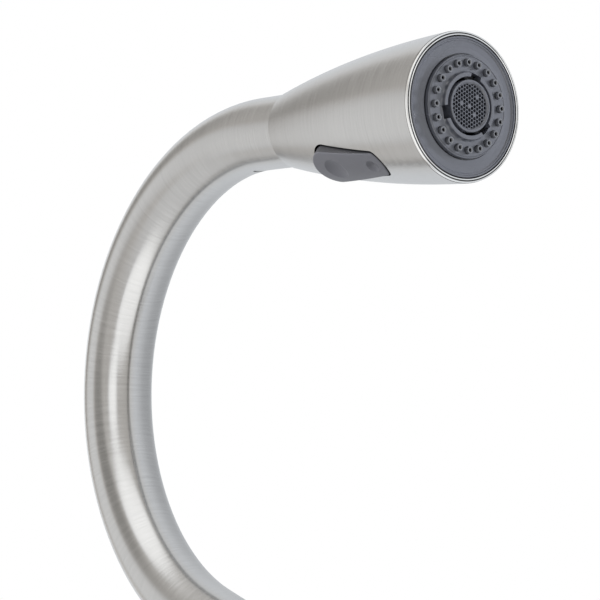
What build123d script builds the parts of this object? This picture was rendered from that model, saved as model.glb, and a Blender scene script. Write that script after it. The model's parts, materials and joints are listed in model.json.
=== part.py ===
"""Pull-down kitchen faucet: single side lever, gooseneck spout and two-mode spray head.

Millimetres, +Z up. The origin is the centre of the base where it sits on the deck.
The spout reaches towards -Y and the lever stands on the +X side.
"""
from build123d import *
import math
import os

os.makedirs("parts", exist_ok=True)

# ------------------------------------------------------------------ driving sizes
# Fits
TOUCH = 0.02              # radial play of two pieces fixed to each other
RUN = 0.05                # radial play of a shaft that turns in its bore
FREE = 0.3                # gap between pieces that move past each other
REACH = 120.0             # length of a cut that goes right through

# Spout
TUBE_R = 14.0
TUBE_WALL = 1.5
ARC_R = 96.8              # centreline of the gooseneck
HEAD_TILT = 18.0          # degrees that the head hangs out of the vertical
ARC_CENTRE_Z = 276.0
TUBE_END = 19.5           # straight stretch between the arc and the spray head
TUBE_FOOT_Z = 126.0

# Base and body
BASE_R = 27.0
BASE_H = 7.0
BASE_EDGE = 1.6
GASKET_H = 1.5
GASKET_MARGIN = 2.0
GASKET_W = 5.0
HOUSING_R = BASE_R - 2.4
HOUSING_SHOULDER_R = 22.4
HOUSING_SHOULDER_Z = 92.0
HOUSING_NECK_R = 18.0
SHOULDER_BULGE = 0.72     # how far the shoulder keeps its width half-way up
HOUSING_TOP_Z = 120.0
HOUSING_WALL = 2.4
COLLAR_H = 6.0
COLLAR_FLOOR = 2.0
COLLAR_EDGE = 1.2

# Valve, on an axis along +X
VALVE_Z = 66.0
BOSS_R = 20.0
BOSS_END = 38.0
BOSS_WALL = 2.5
BOSS_MOUTH = 2.0          # depth of the dome cap in the boss
CARTRIDGE_R = 14.0
POCKET_FLOOR = 9.5
CARTRIDGE_SHOULDER = 29.5
CARTRIDGE_NECK_R = 10.0
CARTRIDGE_NECK_END = 41.0
CARTRIDGE_WALL = 1.5
CARTRIDGE_NUT_R = 15.0
CARTRIDGE_NUT_PROUD = 1.5
CARTRIDGE_NUT_NOTCHES = 6
NOTCH_R = 1.8
CARTRIDGE_FLOOR = 3.5
CARTRIDGE_ROOF = 2.5
SEAL_T = 1.0
SEAL_W = 1.2
ROTOR_NECK_R = 8.0
ROTOR_END = 47.0
ROTOR_PLAY = 0.2
ROTOR_WALL = 1.1
SLOT_ROOM = 2.0           # under the stem's rounded end
DISC_R = 9.5
DISC_T = 3.6
PORT_R = 2.2
PORT_Y = 8.6
SIDE_PORT_DEPTH = 2.4
SIDE_PORT_R = 1.0
CHEEK = 7.2               # half the width of the rotor's slot for the moving disc
CARRIER_T = 2.6
MIX_WALL = 2.5            # round the hollow in the moving disc
MIX_DEPTH = 1.2
BALL_PLAY = 0.15
BALL_POST_WALL = 1.15
PIVOT_X = 44.0
PIVOT_PIN_R = 1.25
STEM_T = 6.0              # stem thickness across the pivot pin
STEM_H = 8.0
STEM_ARM = 12.0           # pivot to the ball that drives the ceramic disc
STEM_ARM_R = 1.7
STEM_BALL_R = 2.3
LEVER_LIFT = 25.0         # degrees from closed to fully open

# Handle
DOME_R = 17.5
DOME_WALL = 1.2
DOME_MOUTH_R = 14.0
DOME_EDGE = 0.5
HUB_GAP = 0.5
HUB_WALL = 2.6
HUB_RIM = 3.6             # the hub's rim stands this far outside the pivot
HUB_FACE = 0.8            # depth of the flat on the hub's end
STEM_SOCKET = 3.0
HUB_CAVITY_END = 16.5
HUB_BOSS_R = 5.5
HUB_BOSS_START = 12.5
STUD_R = 3.0
STUD_ALONG = 9.5
LEVER_LENGTH = 96.0
LEVER_ROOT_W = 13.0
LEVER_ROOT_T = 9.0
LEVER_WAIST = 0.45        # place of the slimmest section along the lever
LEVER_WAIST_W = 11.5
LEVER_WAIST_T = 6.5
LEVER_TIP_W = 15.0
LEVER_TIP_T = 5.0
LEVER_TIP_EDGE = 1.8
LEVER_CORNER = 0.42       # corner radius of a section, by its thickness
LEVER_LEAN = 8.0
GRUB_R = 1.5
GRUB_L = 2.8
GRUB_BACK = 1.6
BUTTON_R = 2.0
BUTTON_T = 1.4

# Shank and clamp below the deck
SHANK_R = 16.0
SHANK_BORE_R = 13.5
SHANK_BOTTOM_Z = -60.0
SHANK_TOP_Z = 22.0
DECK_T = 25.0
WASHER_R = 25.0
RUBBER_T = 3.0
STEEL_T = 2.0
NUT_R = 25.0
NUT_H = 12.0
NUT_DROP = 4.0
NUT_GRIPS = 8
GRIP_R = 3.0
JACK_R = 2.5
JACK_HEAD_R = 4.2
JACK_HEAD_H = 4.0
JACK_TAIL = 4.0
JACK_PITCH_R = 20.6
SUPPLY_R = 3.5
SUPPLY_BORE_R = 2.5
SUPPLY_RADIUS = 9.7       # distance of the three tubes from the shank's axis
SUPPLY_SOCKET = 8.0
SUPPLY_SPLAY = 10.0
SUPPLY_BEND_R = 14.0
SUPPLY_KNEE = 8.0         # height of each knee above the end it belongs to
SUPPLY_END_Z = -98.0
NIPPLE_R = 7.1
NIPPLE_H = 20.0
NIPPLE_HEX_R = 8.4
NIPPLE_HEX_H = 8.0
NIPPLE_SOCKET = 2.0

# Spout swivel
SLEEVE_R = 14.6
SLEEVE_BORE_R = 8.0
SLEEVE_BOTTOM_Z = 100.0
SLEEVE_SPIGOT = 20.0
BUSH_H = 5.0
BUSH_T = 1.75
BUSH_LEDGE = 2.0
RETAINER_R = 2.5
RETAINER_Z = 111.0
GROOVE_DEPTH = 2.0
O_RING_T = 1.6
O_RING_W = 2.4
O_RING_PINCH = 0.1
SLEEVE_STEP = 1.6
SLEEVE_FUNNEL = 2.0
RETAINER_HEAD = 1.2

# Hose and its end in the dock, measured along the head axis from the seam
HOSE_R = 5.25
HOSE_BORE_R = 3.2
HOSE_FOOT_Z = -64.0
HOSE_CHANNEL_R = 6.5
HOSE_TAIL = 22.0
TAIL_R = 4.0
TAIL_BORE_R = 1.8
TAIL_COLLAR_R = 5.6
TAIL_COLLAR_H = 8.0
TAIL_BARB = 10.0
HOSE_END = -13.0
FERRULE_START = -19.4
FERRULE_R = 6.0
FERRULE_FLANGE = -10.0
FLANGE_T = 2.0
HOSE_NUT_R = 9.4
HOSE_NUT_START = -18.0
HOSE_NUT_END = 4.0
HOSE_NUT_CONE = 6.0
HOSE_NUT_LIP = 1.2
DOCK_START = -18.0
DOCK_END = -0.6
DOCK_FLARE = 3.0
DOCK_MOUTH = 1.0
DOCK_SCREW_R = 2.0
DOCK_SCREW_BACK = 25.4    # behind the seam, on the inner side of the bend
DOCK_SCREW_TIP = 2.0      # the screw reaches this far inside the tube's wall
DOCK_SCREW_SUNK = 0.2

# Spray head
HEAD_LENGTH = 92.1        # seam to the plane of the rim
HEAD_NECK_R = 15.07
HEAD_MID = 45.0
HEAD_MID_R = 23.25
HEAD_RIM_R = 27.04
SEAM_GAP = 0.2            # the joint line between spout and spray head
SHELL_WALL = 1.2
NECK_FLOOR = 1.4
RIM_PROUD = 0.5
RIM_DEPTH = 3.2
RIM_SEAT = 0.6            # the shell ends this far behind the rim's plane
RIM_EDGE = 0.45

CORE_SPIGOT_R = 7.5
CORE_SPIGOT_END = -8.3
CORE_INLET_R = 4.6
CORE_SHOULDER = 5.0
CORE_SHOULDER_H = 7.0
CORE_WAIST_START = 26.0
CORE_WAIST_R = 12.2
CORE_FRONT = HEAD_LENGTH - 13.1
CORE_FLANGE_T = 5.0
CORE_FLANGE_R = 22.5
FEED_R = 2.4
WELL_R = 3.0
CROSS_R = 1.8             # drillings across the head, between the bore and a water way
FACE_SEAL_R = 21.4
FACE_SEAL_W = 2.0
FACE_SEAL_T = 1.2
CHECK_R = 6.6
CHECK_START = 8.0
CHECK_LENGTH = 16.0
CHECK_SEAT = 3.0
CHECK_ROOF = 2.0
CHECK_WALL = 1.4
CHECK_HOLES = 6
CHECK_HOLE_R = 1.0
CHECK_HOLE_PITCH_R = 3.4
POPPET_R = 3.6
POPPET_T = 2.0
POPPET_STEM_R = 1.3
SPRING_R = 2.5
SPRING_WIRE_R = 0.3
SPRING_TURNS = 4
SCREEN_T = 1.2

# Rocker and diverter, in the plane that holds the head axis
TOGGLE_ANGLE = -38.5      # about the head axis, from the inner side of the bend
TOGGLE_PIVOT = 0.543 * HEAD_LENGTH
TOGGLE_PIVOT_R = 16.5
TOGGLE_PIN_R = 1.25
TOGGLE_THROW = 8.5
TOGGLE_GAP = 0.7
TOGGLE_DEPTH = 3.2        # from the pin to the underside of the cap
TOGGLE_EDGE = 0.5
CROWN_REAR = 3.5          # the cap stands this far above the shell at its rear
CROWN_MIDDLE = 2.0
CROWN_FRONT = 0.15
REAR_DIMPLE = (-9.0, 5.6, 1.5)     # place from the pin, radius and depth
FRONT_DIMPLE = (12.5, 2.9, 1.1)
SLOT_REAR = TOGGLE_PIVOT - 21.7
SLOT_REAR_CENTRE = TOGGLE_PIVOT - 13.0
SLOT_REAR_HALF = 8.7
SLOT_SHOULDER = TOGGLE_PIVOT + 15.0
SLOT_SHOULDER_HALF = 6.4
SLOT_FRONT = TOGGLE_PIVOT + 18.75
NOSE_HALF = 0.735         # the nose's corners, as shares of its width and length
NOSE_ALONG = 0.62
NOSE_CORNER = 0.25
ROCKER_BOSS_R = 3.4
ROCKER_FOOT = 5.0
ROCKER_FOOT_L = 6.0
EAR_INNER = 4.0
EAR_OUTER = 6.6
EAR_LENGTH = 7.0
EAR_ROOT = 6.0
EAR_END_R = 2.4
SPOOL_R = 3.5
SPOOL_RADIUS = 7.5        # distance of the diverter bore from the head axis
SPOOL_START = TOGGLE_PIVOT - 15.0
SPOOL_END = TOGGLE_PIVOT + 14.0
SPOOL_ROOM = 2.5
SPOOL_GROOVE = 0.9
SPOOL_RING_W = 1.2
SPOOL_RINGS = (-12.0, -6.5, 6.0, 11.0)    # places of the O-rings from the pin
STEADY_WAY = -6.0
SPRAY_WAY = 9.0
PEG_R = 1.5
PEG_NECK_R = 0.9
PEG_WINDOW = 11.0
PEG_WINDOW_PLAY = 0.8

# Spray face, heights measured outwards from the rim plane
FACE_R = 25.4
FACE_T = 7.0
FACE_EDGE = 0.5
FACE_GROOVE_BACK = 1.7
FACE_LIP = 0.45
FACE_DISH = 0.35
PLATE_R = 18.9
PLATE_TOP_R = 18.4
PLATE_TOP = 1.9
PLATE_T = 2.4
PLATE_EDGE = 0.3
NOZZLE_COUNT = 20
NOZZLE_CIRCLE_R = 15.5
NOZZLE_R = 1.28
NOZZLE_TIP = 3.5
NOZZLE_BORE_R = 0.6
NOZZLE_HOLE_GAP = 0.15
NOZZLE_PHASE = 2.0
MAT_T = 1.6
MAT_INNER = 2.4           # the mat starts this far outside the mouth
MAT_MARGIN = 0.6
COLLAR_RING_R = 12.1
COLLAR_RING_TOP = 3.5
MOUTH_R = 10.4
KEY_COUNT = 3
KEY_W = 4.7
KEY_FLOOR = 0.6
KEY_PHASE = 45.8
AERATOR_R = 9.3
AERATOR_BORE_R = 8.06
AERATOR_TOP = 3.85
AERATOR_DEPTH = 12.0
AERATOR_SEAL_W = 0.28
AERATOR_SEAL_T = 1.6
SPREADER_T = 2.0
SPREADER_HOLES = 6
SPREADER_HOLE_R = 1.6
GRID_TOP = 3.2
GRID_T = 1.2
GRID_RINGS = 5
GRID_PITCH = 1.42
GRID_BAR = 0.38
GRID_EDGE = 0.75          # no cell's centre comes nearer to the wall

# ------------------------------------------------------------------ frames
tilt = math.radians(HEAD_TILT)
HEAD_AXIS = Vector(0, -math.sin(tilt), -math.cos(tilt))
INWARD = Vector(0, math.cos(tilt), -math.sin(tilt))
ARC_TURN = 180.0 - HEAD_TILT
ARC_CENTRE = Vector(0, -ARC_R, ARC_CENTRE_Z)


def on_arc(angle):
    """A point of the gooseneck's centreline, by degrees turned from the riser."""
    turned_by = math.radians(angle)
    return ARC_CENTRE + Vector(0, math.cos(turned_by), math.sin(turned_by)) * ARC_R


SEAM = on_arc(ARC_TURN) + HEAD_AXIS * TUBE_END
HEAD = Plane(origin=SEAM, x_dir=INWARD, z_dir=HEAD_AXIS).location
TOGGLE = HEAD * Rot(0, 0, TOGGLE_ANGLE)
VALVE = Plane(origin=(0, 0, VALVE_Z), x_dir=(0, 0, 1), z_dir=(1, 0, 0)).location

UP = (Align.CENTER, Align.CENTER, Align.MIN)
nodes = {}


# ------------------------------------------------------------------ helpers
def turned(*outline):
    """Turn an outline of (radius, height) points about Z."""
    return revolve(Plane.XZ * make_face(Polyline(*outline, close=True)), Axis.Z)


def ring(outer, inner, low, high):
    return turned((inner, low), (outer, low), (outer, high), (inner, high))


def rod(radius, low, high, x=0.0, y=0.0):
    return Pos(x, y, low) * Cylinder(radius, high - low, align=UP)


def cross_rod(radius, start, end):
    """A straight round bar or drilling between two points."""
    line = Line(start, end)
    return extrude(Plane(origin=start, z_dir=line % 0) * Circle(radius), line.length)


def hexagon(flat_r, low, high):
    return Pos(0, 0, low) * extrude(RegularPolygon(flat_r, 6, major_radius=False), high - low)


def around(count, phase, piece):
    """Copies of a piece evenly spread about Z, the first one turned by phase."""
    return [Rot(0, 0, phase + i * 360 / count) * piece for i in range(count)]


def centreline(low, end):
    """The gooseneck's route from a height on the riser to a distance past the arc."""
    riser = Line((0, 0, low), on_arc(0))
    bend = ThreePointArc(on_arc(0), on_arc(ARC_TURN / 2), on_arc(ARC_TURN))
    tail = Line(on_arc(ARC_TURN), on_arc(ARC_TURN) + HEAD_AXIS * end)
    return Wire([riser, bend, tail])


def swept(section, route, low):
    return sweep(Pos(0, 0, low) * section, path=route)


def head_r(along):
    """The head shell's outer radius at a distance along its axis: one large arc."""
    return HEAD_ARC_R_CENTRE + math.sqrt(HEAD_ARC_R**2 - (along - HEAD_ARC_ALONG) ** 2)


def arc_through(p, q, r):
    """Centre and radius of the circle through three (along, radius) points."""
    (ax, ay), (bx, by), (cx, cy) = p, q, r
    d = 2 * (ax * (by - cy) + bx * (cy - ay) + cx * (ay - by))
    ux = ((ax**2 + ay**2) * (by - cy) + (bx**2 + by**2) * (cy - ay) + (cx**2 + cy**2) * (ay - by)) / d
    uy = ((ax**2 + ay**2) * (cx - bx) + (bx**2 + by**2) * (ax - cx) + (cx**2 + cy**2) * (bx - ax)) / d
    return ux, uy, math.hypot(ax - ux, ay - uy)


HEAD_ARC_ALONG, HEAD_ARC_R_CENTRE, HEAD_ARC_R = arc_through(
    (0, HEAD_NECK_R), (HEAD_MID, HEAD_MID_R), (HEAD_LENGTH, HEAD_RIM_R)
)


def bell(inset, low, high):
    """A solid of the head's bell shape, its surface moved in by inset."""
    middle = (low + high) / 2
    side = ThreePointArc(
        (head_r(low) - inset, low), (head_r(middle) - inset, middle), (head_r(high) - inset, high)
    )
    closing = Polyline((head_r(high) - inset, high), (0, high), (0, low), (head_r(low) - inset, low))
    return revolve(Plane.XZ * make_face([side, closing]), Axis.Z)


# ------------------------------------------------------------------ base and body
def base():
    gasket_outer = BASE_R - GASKET_MARGIN
    gasket_inner = gasket_outer - GASKET_W
    bore_r = SHANK_R + TOUCH
    blank = turned(
        (bore_r, 0), (BASE_R, 0), (BASE_R, BASE_H - BASE_EDGE), (BASE_R - BASE_EDGE, BASE_H), (bore_r, BASE_H)
    )
    recess = ring(gasket_outer + TOUCH, gasket_inner - TOUCH, 0, GASKET_H)
    nodes["base_ring"] = blank - recess
    nodes["deck_gasket"] = ring(gasket_outer, gasket_inner, 0, GASKET_H)


def body():
    core_r = HOUSING_SHOULDER_R - HOUSING_WALL
    bush_r = SLEEVE_R + RUN + BUSH_T
    shoulder_arc = ThreePointArc(
        (HOUSING_SHOULDER_R, HOUSING_SHOULDER_Z),
        (HOUSING_NECK_R + SHOULDER_BULGE * (HOUSING_SHOULDER_R - HOUSING_NECK_R),
         (HOUSING_SHOULDER_Z + HOUSING_TOP_Z) / 2),
        (HOUSING_NECK_R, HOUSING_TOP_Z),
    )
    rest = Polyline(
        (HOUSING_NECK_R, HOUSING_TOP_Z), (0, HOUSING_TOP_Z), (0, BASE_H),
        (HOUSING_R, BASE_H), (HOUSING_SHOULDER_R, HOUSING_SHOULDER_Z),
    )
    outside = revolve(Plane.XZ * make_face([shoulder_arc, rest]), Axis.Z)
    outside += VALVE * rod(BOSS_R, 0, BOSS_END)
    ledge = SLEEVE_BOTTOM_Z - BUSH_LEDGE
    inside = rod(core_r, BASE_H, ledge) + rod(bush_r + TOUCH, BASE_H, HOUSING_TOP_Z)
    inside += VALVE * rod(BOSS_R - BOSS_WALL, 0, BOSS_END)
    screw_hole = cross_rod(RETAINER_R + TOUCH, (0, 0, RETAINER_Z), (0, HOUSING_R, RETAINER_Z))
    nodes["body_housing"] = outside - inside - screw_hole

    # Brass core: it holds the shank, the three tubes and the cartridge, beside the hose's channel.
    core = rod(core_r - TOUCH, BASE_H + FREE, ledge - FREE)
    core += VALVE * rod(BOSS_R - BOSS_WALL - TOUCH, 0, BOSS_END - BOSS_MOUTH)
    core -= rod(HOSE_CHANNEL_R, 0, HOUSING_TOP_Z)
    core -= rod(SHANK_R + TOUCH, 0, SHANK_TOP_Z)
    core -= VALVE * rod(CARTRIDGE_R + TOUCH, POCKET_FLOOR, BOSS_END)
    core -= VALVE * rod(CARTRIDGE_NUT_R + TOUCH, CARTRIDGE_SHOULDER - FREE, BOSS_END)
    for x, y in tube_places():
        socket_top = SHANK_TOP_Z + SUPPLY_SOCKET
        core -= rod(SUPPLY_R + TOUCH, 0, socket_top, x, y)
        top = VALVE_Z if y else VALVE_Z - CARTRIDGE_R + SIDE_PORT_R
        core -= rod(SUPPLY_BORE_R, 0, top, x, y)
        if y:
            core -= cross_rod(SUPPLY_BORE_R, (x, y, VALVE_Z), (POCKET_FLOOR + SEAL_T, y, VALVE_Z))
    nodes["valve_body"] = core

    # The collar closes the housing and keeps the upper bush in.
    collar_top = HOUSING_TOP_Z + COLLAR_H
    floor_top = HOUSING_TOP_Z + COLLAR_FLOOR
    nodes["neck_collar"] = turned(
        (TUBE_R + FREE, floor_top), (TUBE_R + FREE, collar_top),
        (HOUSING_NECK_R - COLLAR_EDGE, collar_top), (HOUSING_NECK_R, collar_top - COLLAR_EDGE),
        (HOUSING_NECK_R, HOUSING_TOP_Z), (SLEEVE_R + FREE, HOUSING_TOP_Z), (SLEEVE_R + FREE, floor_top),
    )


def tube_places():
    """Hot, cold and mixed-water tubes around the hose, in the shank."""
    x = math.sqrt(SUPPLY_RADIUS**2 - PORT_Y**2)
    return [(x, PORT_Y), (x, -PORT_Y), (SUPPLY_RADIUS, 0.0)]


# ------------------------------------------------------------------ below the deck
def shank_and_clamp():
    nodes["threaded_shank"] = ring(SHANK_R, SHANK_BORE_R, SHANK_BOTTOM_Z, SHANK_TOP_Z)
    rubber_top = -DECK_T
    steel_top = rubber_top - RUBBER_T
    steel_low = steel_top - STEEL_T
    nodes["rubber_washer"] = ring(WASHER_R, SHANK_R + TOUCH, steel_top, rubber_top)
    nodes["steel_washer"] = ring(WASHER_R, SHANK_R + TOUCH, steel_low, steel_top)

    nut_top = steel_low - NUT_DROP
    nut_low = nut_top - NUT_H
    nut = ring(NUT_R, SHANK_R + TOUCH, nut_low, nut_top)
    notch = rod(GRIP_R, nut_low, nut_top - GRIP_R, NUT_R + GRIP_R / 3)
    for cut in around(NUT_GRIPS, 180 / NUT_GRIPS, notch):
        nut -= cut
    screws = []
    for x in (-JACK_PITCH_R, JACK_PITCH_R):
        nut -= rod(JACK_R + TOUCH, nut_low, nut_top, x)
        head_top = nut_low - JACK_TAIL
        screw = rod(JACK_R, head_top, steel_low, x)
        screw += Pos(x, 0, 0) * hexagon(JACK_HEAD_R * math.cos(math.pi / 6), head_top - JACK_HEAD_H, head_top)
        screws.append(screw)
    nodes["mounting_nut"] = nut
    nodes["jack_screws"] = Compound(children=screws)


def tubes():
    socket_top = SHANK_TOP_Z + SUPPLY_SOCKET
    nipples = []
    for name, (x, y) in zip(("hot", "cold", "mixed"), tube_places()):
        grow = 1 + SUPPLY_SPLAY / SUPPLY_RADIUS
        corners = [
            (x, y, socket_top), (x, y, SHANK_BOTTOM_Z - SUPPLY_KNEE),
            (x * grow, y * grow, SUPPLY_END_Z + SUPPLY_KNEE), (x * grow, y * grow, SUPPLY_END_Z),
        ]
        route = FilletPolyline(*corners, radius=SUPPLY_BEND_R)
        wall = Circle(SUPPLY_R) - Circle(SUPPLY_BORE_R)
        nodes[name + "_tube"] = sweep(Pos(x, y, socket_top) * wall, path=route)
        top = SUPPLY_END_Z + NIPPLE_SOCKET
        fitting = rod(NIPPLE_R, SUPPLY_END_Z - NIPPLE_H, top)
        fitting += hexagon(NIPPLE_HEX_R, top - NIPPLE_HEX_H, top)
        fitting -= rod(SUPPLY_R + TOUCH, SUPPLY_END_Z, top)
        fitting -= rod(SUPPLY_BORE_R, SUPPLY_END_Z - NIPPLE_H, SUPPLY_END_Z)
        nipples.append(Pos(x * grow, y * grow, 0) * fitting)
    nodes["tube_nipples"] = Compound(children=nipples)


# ------------------------------------------------------------------ cartridge
def cartridge():
    cavity_r = CARTRIDGE_R - CARTRIDGE_WALL
    disc_low = POCKET_FLOOR + CARTRIDGE_FLOOR
    disc_face = disc_low + DISC_T
    cavity_top = CARTRIDGE_SHOULDER - CARTRIDGE_ROOF
    case = rod(CARTRIDGE_R, POCKET_FLOOR, CARTRIDGE_SHOULDER)
    case += rod(CARTRIDGE_NECK_R, CARTRIDGE_SHOULDER, CARTRIDGE_NECK_END)
    case -= rod(cavity_r, disc_low, cavity_top)
    case -= rod(ROTOR_NECK_R + RUN, disc_low, CARTRIDGE_NECK_END)
    seal_r = PORT_R + SEAL_W
    ports = [(0, PORT_Y), (0, -PORT_Y), (-PORT_Y, 0)]
    fixed = rod(cavity_r - TOUCH, disc_low, disc_face)
    seals = []
    for x, y in ports:
        fixed -= rod(PORT_R, disc_low, disc_face, x, y)
        if y:
            case -= rod(PORT_R, POCKET_FLOOR, disc_low, x, y)
            case -= rod(seal_r + TOUCH, POCKET_FLOOR, POCKET_FLOOR + SEAL_T, x, y)
            seals.append(Pos(x, y, 0) * ring(seal_r, PORT_R, POCKET_FLOOR, POCKET_FLOOR + SEAL_T))
        else:
            side = disc_low - SIDE_PORT_DEPTH / 2
            case -= rod(PORT_R, disc_low - SIDE_PORT_DEPTH, disc_low, x, y)
            case -= cross_rod(SIDE_PORT_R, (x, 0, side), (-CARTRIDGE_NUT_R, 0, side))
    nodes["cartridge_case"] = VALVE * case
    nodes["cartridge_seals"] = VALVE * Compound(children=seals)
    nodes["fixed_disc"] = VALVE * fixed

    # The disc and its carrier slide between the rotor's two cheeks. Closed, they sit low.
    half_lift = math.radians(LEVER_LIFT / 2)
    closed = -STEM_ARM * math.sin(half_lift)
    ball = Vector(closed, 0, PIVOT_X - STEM_ARM * math.cos(half_lift))
    plate_low = disc_face + TOUCH
    plate_top = plate_low + DISC_T
    carrier_top = plate_top + CARRIER_T
    across = Box(REACH, 2 * (CHEEK - FREE), REACH)
    disc = rod(DISC_R, plate_low, plate_top, closed) & across
    hollow = rod(DISC_R - MIX_WALL, plate_low, plate_low + MIX_DEPTH, closed)
    disc -= hollow & Box(REACH, 2 * (CHEEK - MIX_WALL), REACH)
    nodes["moving_disc"] = VALVE * disc
    socket_r = STEM_BALL_R + BALL_PLAY
    carrier = rod(DISC_R, plate_top, carrier_top, closed) & across
    carrier += rod(socket_r + BALL_POST_WALL, carrier_top, ball.Z + STEM_BALL_R, closed)
    carrier -= rod(socket_r, ball.Z - STEM_BALL_R - FREE, REACH, closed)
    nodes["disc_carrier"] = VALVE * carrier

    rotor_top = cavity_top - ROTOR_PLAY
    slot_floor = PIVOT_X - STEM_H / 2 - SLOT_ROOM
    rotor = rod(cavity_r - ROTOR_PLAY, plate_low + FREE, rotor_top)
    rotor -= Pos(0, 0, plate_low) * Box(REACH, 2 * CHEEK, carrier_top + FREE - plate_low, align=UP)
    rotor += rod(ROTOR_NECK_R, rotor_top, ROTOR_END)
    rotor -= rod(ROTOR_NECK_R - ROTOR_WALL, plate_low, slot_floor)
    rotor -= Pos(0, 0, slot_floor) * Box(REACH, STEM_T + ROTOR_PLAY, REACH, align=UP)
    pin_half = ROTOR_NECK_R - ROTOR_PLAY
    rotor -= cross_rod(PIVOT_PIN_R + TOUCH, (0, -pin_half, PIVOT_X), (0, pin_half, PIVOT_X))
    nodes["cartridge_rotor"] = VALVE * rotor
    nodes["stem_pin"] = VALVE * cross_rod(PIVOT_PIN_R, (0, -pin_half, PIVOT_X), (0, pin_half, PIVOT_X))

    stem_end = PIVOT_X + HUB_CAVITY_END + STEM_SOCKET
    stem = Pos(0, 0, PIVOT_X) * Box(STEM_H, STEM_T, stem_end - PIVOT_X, align=UP)
    stem += cross_rod(STEM_H / 2, (0, -STEM_T / 2, PIVOT_X), (0, STEM_T / 2, PIVOT_X))
    stem += cross_rod(STEM_ARM_R, (0, 0, PIVOT_X), tuple(ball))
    stem += Pos(*ball) * Sphere(STEM_BALL_R)
    stem -= cross_rod(PIVOT_PIN_R + RUN, (0, -STEM_T, PIVOT_X), (0, STEM_T, PIVOT_X))
    nodes["cartridge_stem"] = VALVE * stem

    nut_end = BOSS_END + CARTRIDGE_NUT_PROUD
    nut = ring(CARTRIDGE_NUT_R, CARTRIDGE_NECK_R + TOUCH, CARTRIDGE_SHOULDER, nut_end)
    for cut in around(CARTRIDGE_NUT_NOTCHES, 0, rod(NOTCH_R, BOSS_END - BOSS_MOUTH, nut_end, CARTRIDGE_NUT_R)):
        nut -= cut
    nodes["cartridge_nut"] = VALVE * nut


# ------------------------------------------------------------------ handle
def ball_zone(radius, low, high):
    """The part of a ball about the pivot between two planes across the valve axis."""
    return Pos(0, 0, PIVOT_X) * Sphere(radius) & rod(2 * radius, PIVOT_X + low, PIVOT_X + high)


def handle():
    inner_r = DOME_R - DOME_WALL
    boss_back = BOSS_END - PIVOT_X
    dome_low = BOSS_END - BOSS_MOUTH
    dome_end = math.sqrt(DOME_R**2 - DOME_MOUTH_R**2)
    skirt_r = BOSS_R - BOSS_WALL - TOUCH
    dome = rod(skirt_r, dome_low, BOSS_END) + ball_zone(DOME_R, boss_back, dome_end)
    dome -= rod(inner_r - DOME_EDGE, dome_low, BOSS_END) + ball_zone(inner_r, boss_back, DOME_R)
    dome -= rod(DOME_MOUTH_R - DOME_EDGE, PIVOT_X, PIVOT_X + DOME_R)
    nodes["dome_cap"] = VALVE * dome

    cavity_r = DOME_R + HUB_GAP
    hub_r = cavity_r + HUB_WALL
    hub_end = hub_r - HUB_FACE
    hub = ball_zone(hub_r, HUB_RIM, hub_end)
    hub -= ball_zone(cavity_r, 0, HUB_CAVITY_END)
    hub += rod(HUB_BOSS_R, PIVOT_X + HUB_BOSS_START, PIVOT_X + HUB_CAVITY_END + STEM_SOCKET)
    socket_depth = HUB_CAVITY_END + STEM_SOCKET + TOUCH
    hub -= Pos(0, 0, PIVOT_X) * Box(STEM_H + 2 * TOUCH, STEM_T + 2 * TOUCH, socket_depth, align=UP)
    grub_x = PIVOT_X + HUB_CAVITY_END + GRUB_BACK
    grub_low = -STEM_H / 2
    grub_high = grub_low - GRUB_L
    hub -= cross_rod(GRUB_R + TOUCH, (0, 0, grub_x), (-hub_r, 0, grub_x))
    hub -= cross_rod(BUTTON_R + TOUCH, (grub_high, 0, grub_x), (-hub_r, 0, grub_x))
    stud_x = PIVOT_X + STUD_ALONG
    hub -= cross_rod(STUD_R + TOUCH, (0, 0, stud_x), (hub_r, 0, stud_x))
    nodes["handle_hub"] = VALVE * hub
    nodes["handle_set_screw"] = VALVE * cross_rod(GRUB_R, (grub_low, 0, grub_x), (grub_high, 0, grub_x))
    nodes["index_button"] = VALVE * cross_rod(
        BUTTON_R, (grub_high, 0, grub_x), (grub_high - BUTTON_T, 0, grub_x)
    )

    # The lever is a slim paddle, lofted from a thick root to a thin wide tip. Its stud sits in the hub.
    root = cavity_r - HUB_WALL
    lean = math.tan(math.radians(LEVER_LEAN))
    stations = [
        (0.0, LEVER_ROOT_W, LEVER_ROOT_T),
        (LEVER_WAIST, LEVER_WAIST_W, LEVER_WAIST_T),
        (1.0, LEVER_TIP_W, LEVER_TIP_T),
    ]
    sections = []
    for share, width, thick in stations:
        rise = share * LEVER_LENGTH
        place = Plane(origin=(root + rise, 0, stud_x + rise * lean), x_dir=(0, 1, 0), z_dir=(1, 0, 0))
        sections.append(place * RectangleRounded(width, thick, thick * LEVER_CORNER))
    lever = loft(sections)
    lever = fillet(lever.faces().sort_by(Axis.X)[-1].edges(), LEVER_TIP_EDGE)
    lever -= Pos(0, 0, PIVOT_X) * Sphere(hub_r + TOUCH)
    stud_seat = math.sqrt(cavity_r**2 - (STUD_ALONG - STUD_R) ** 2)
    lever += cross_rod(STUD_R, (stud_seat, 0, stud_x), (hub_r + STUD_R, 0, stud_x))
    nodes["handle_lever"] = VALVE * lever


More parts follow.
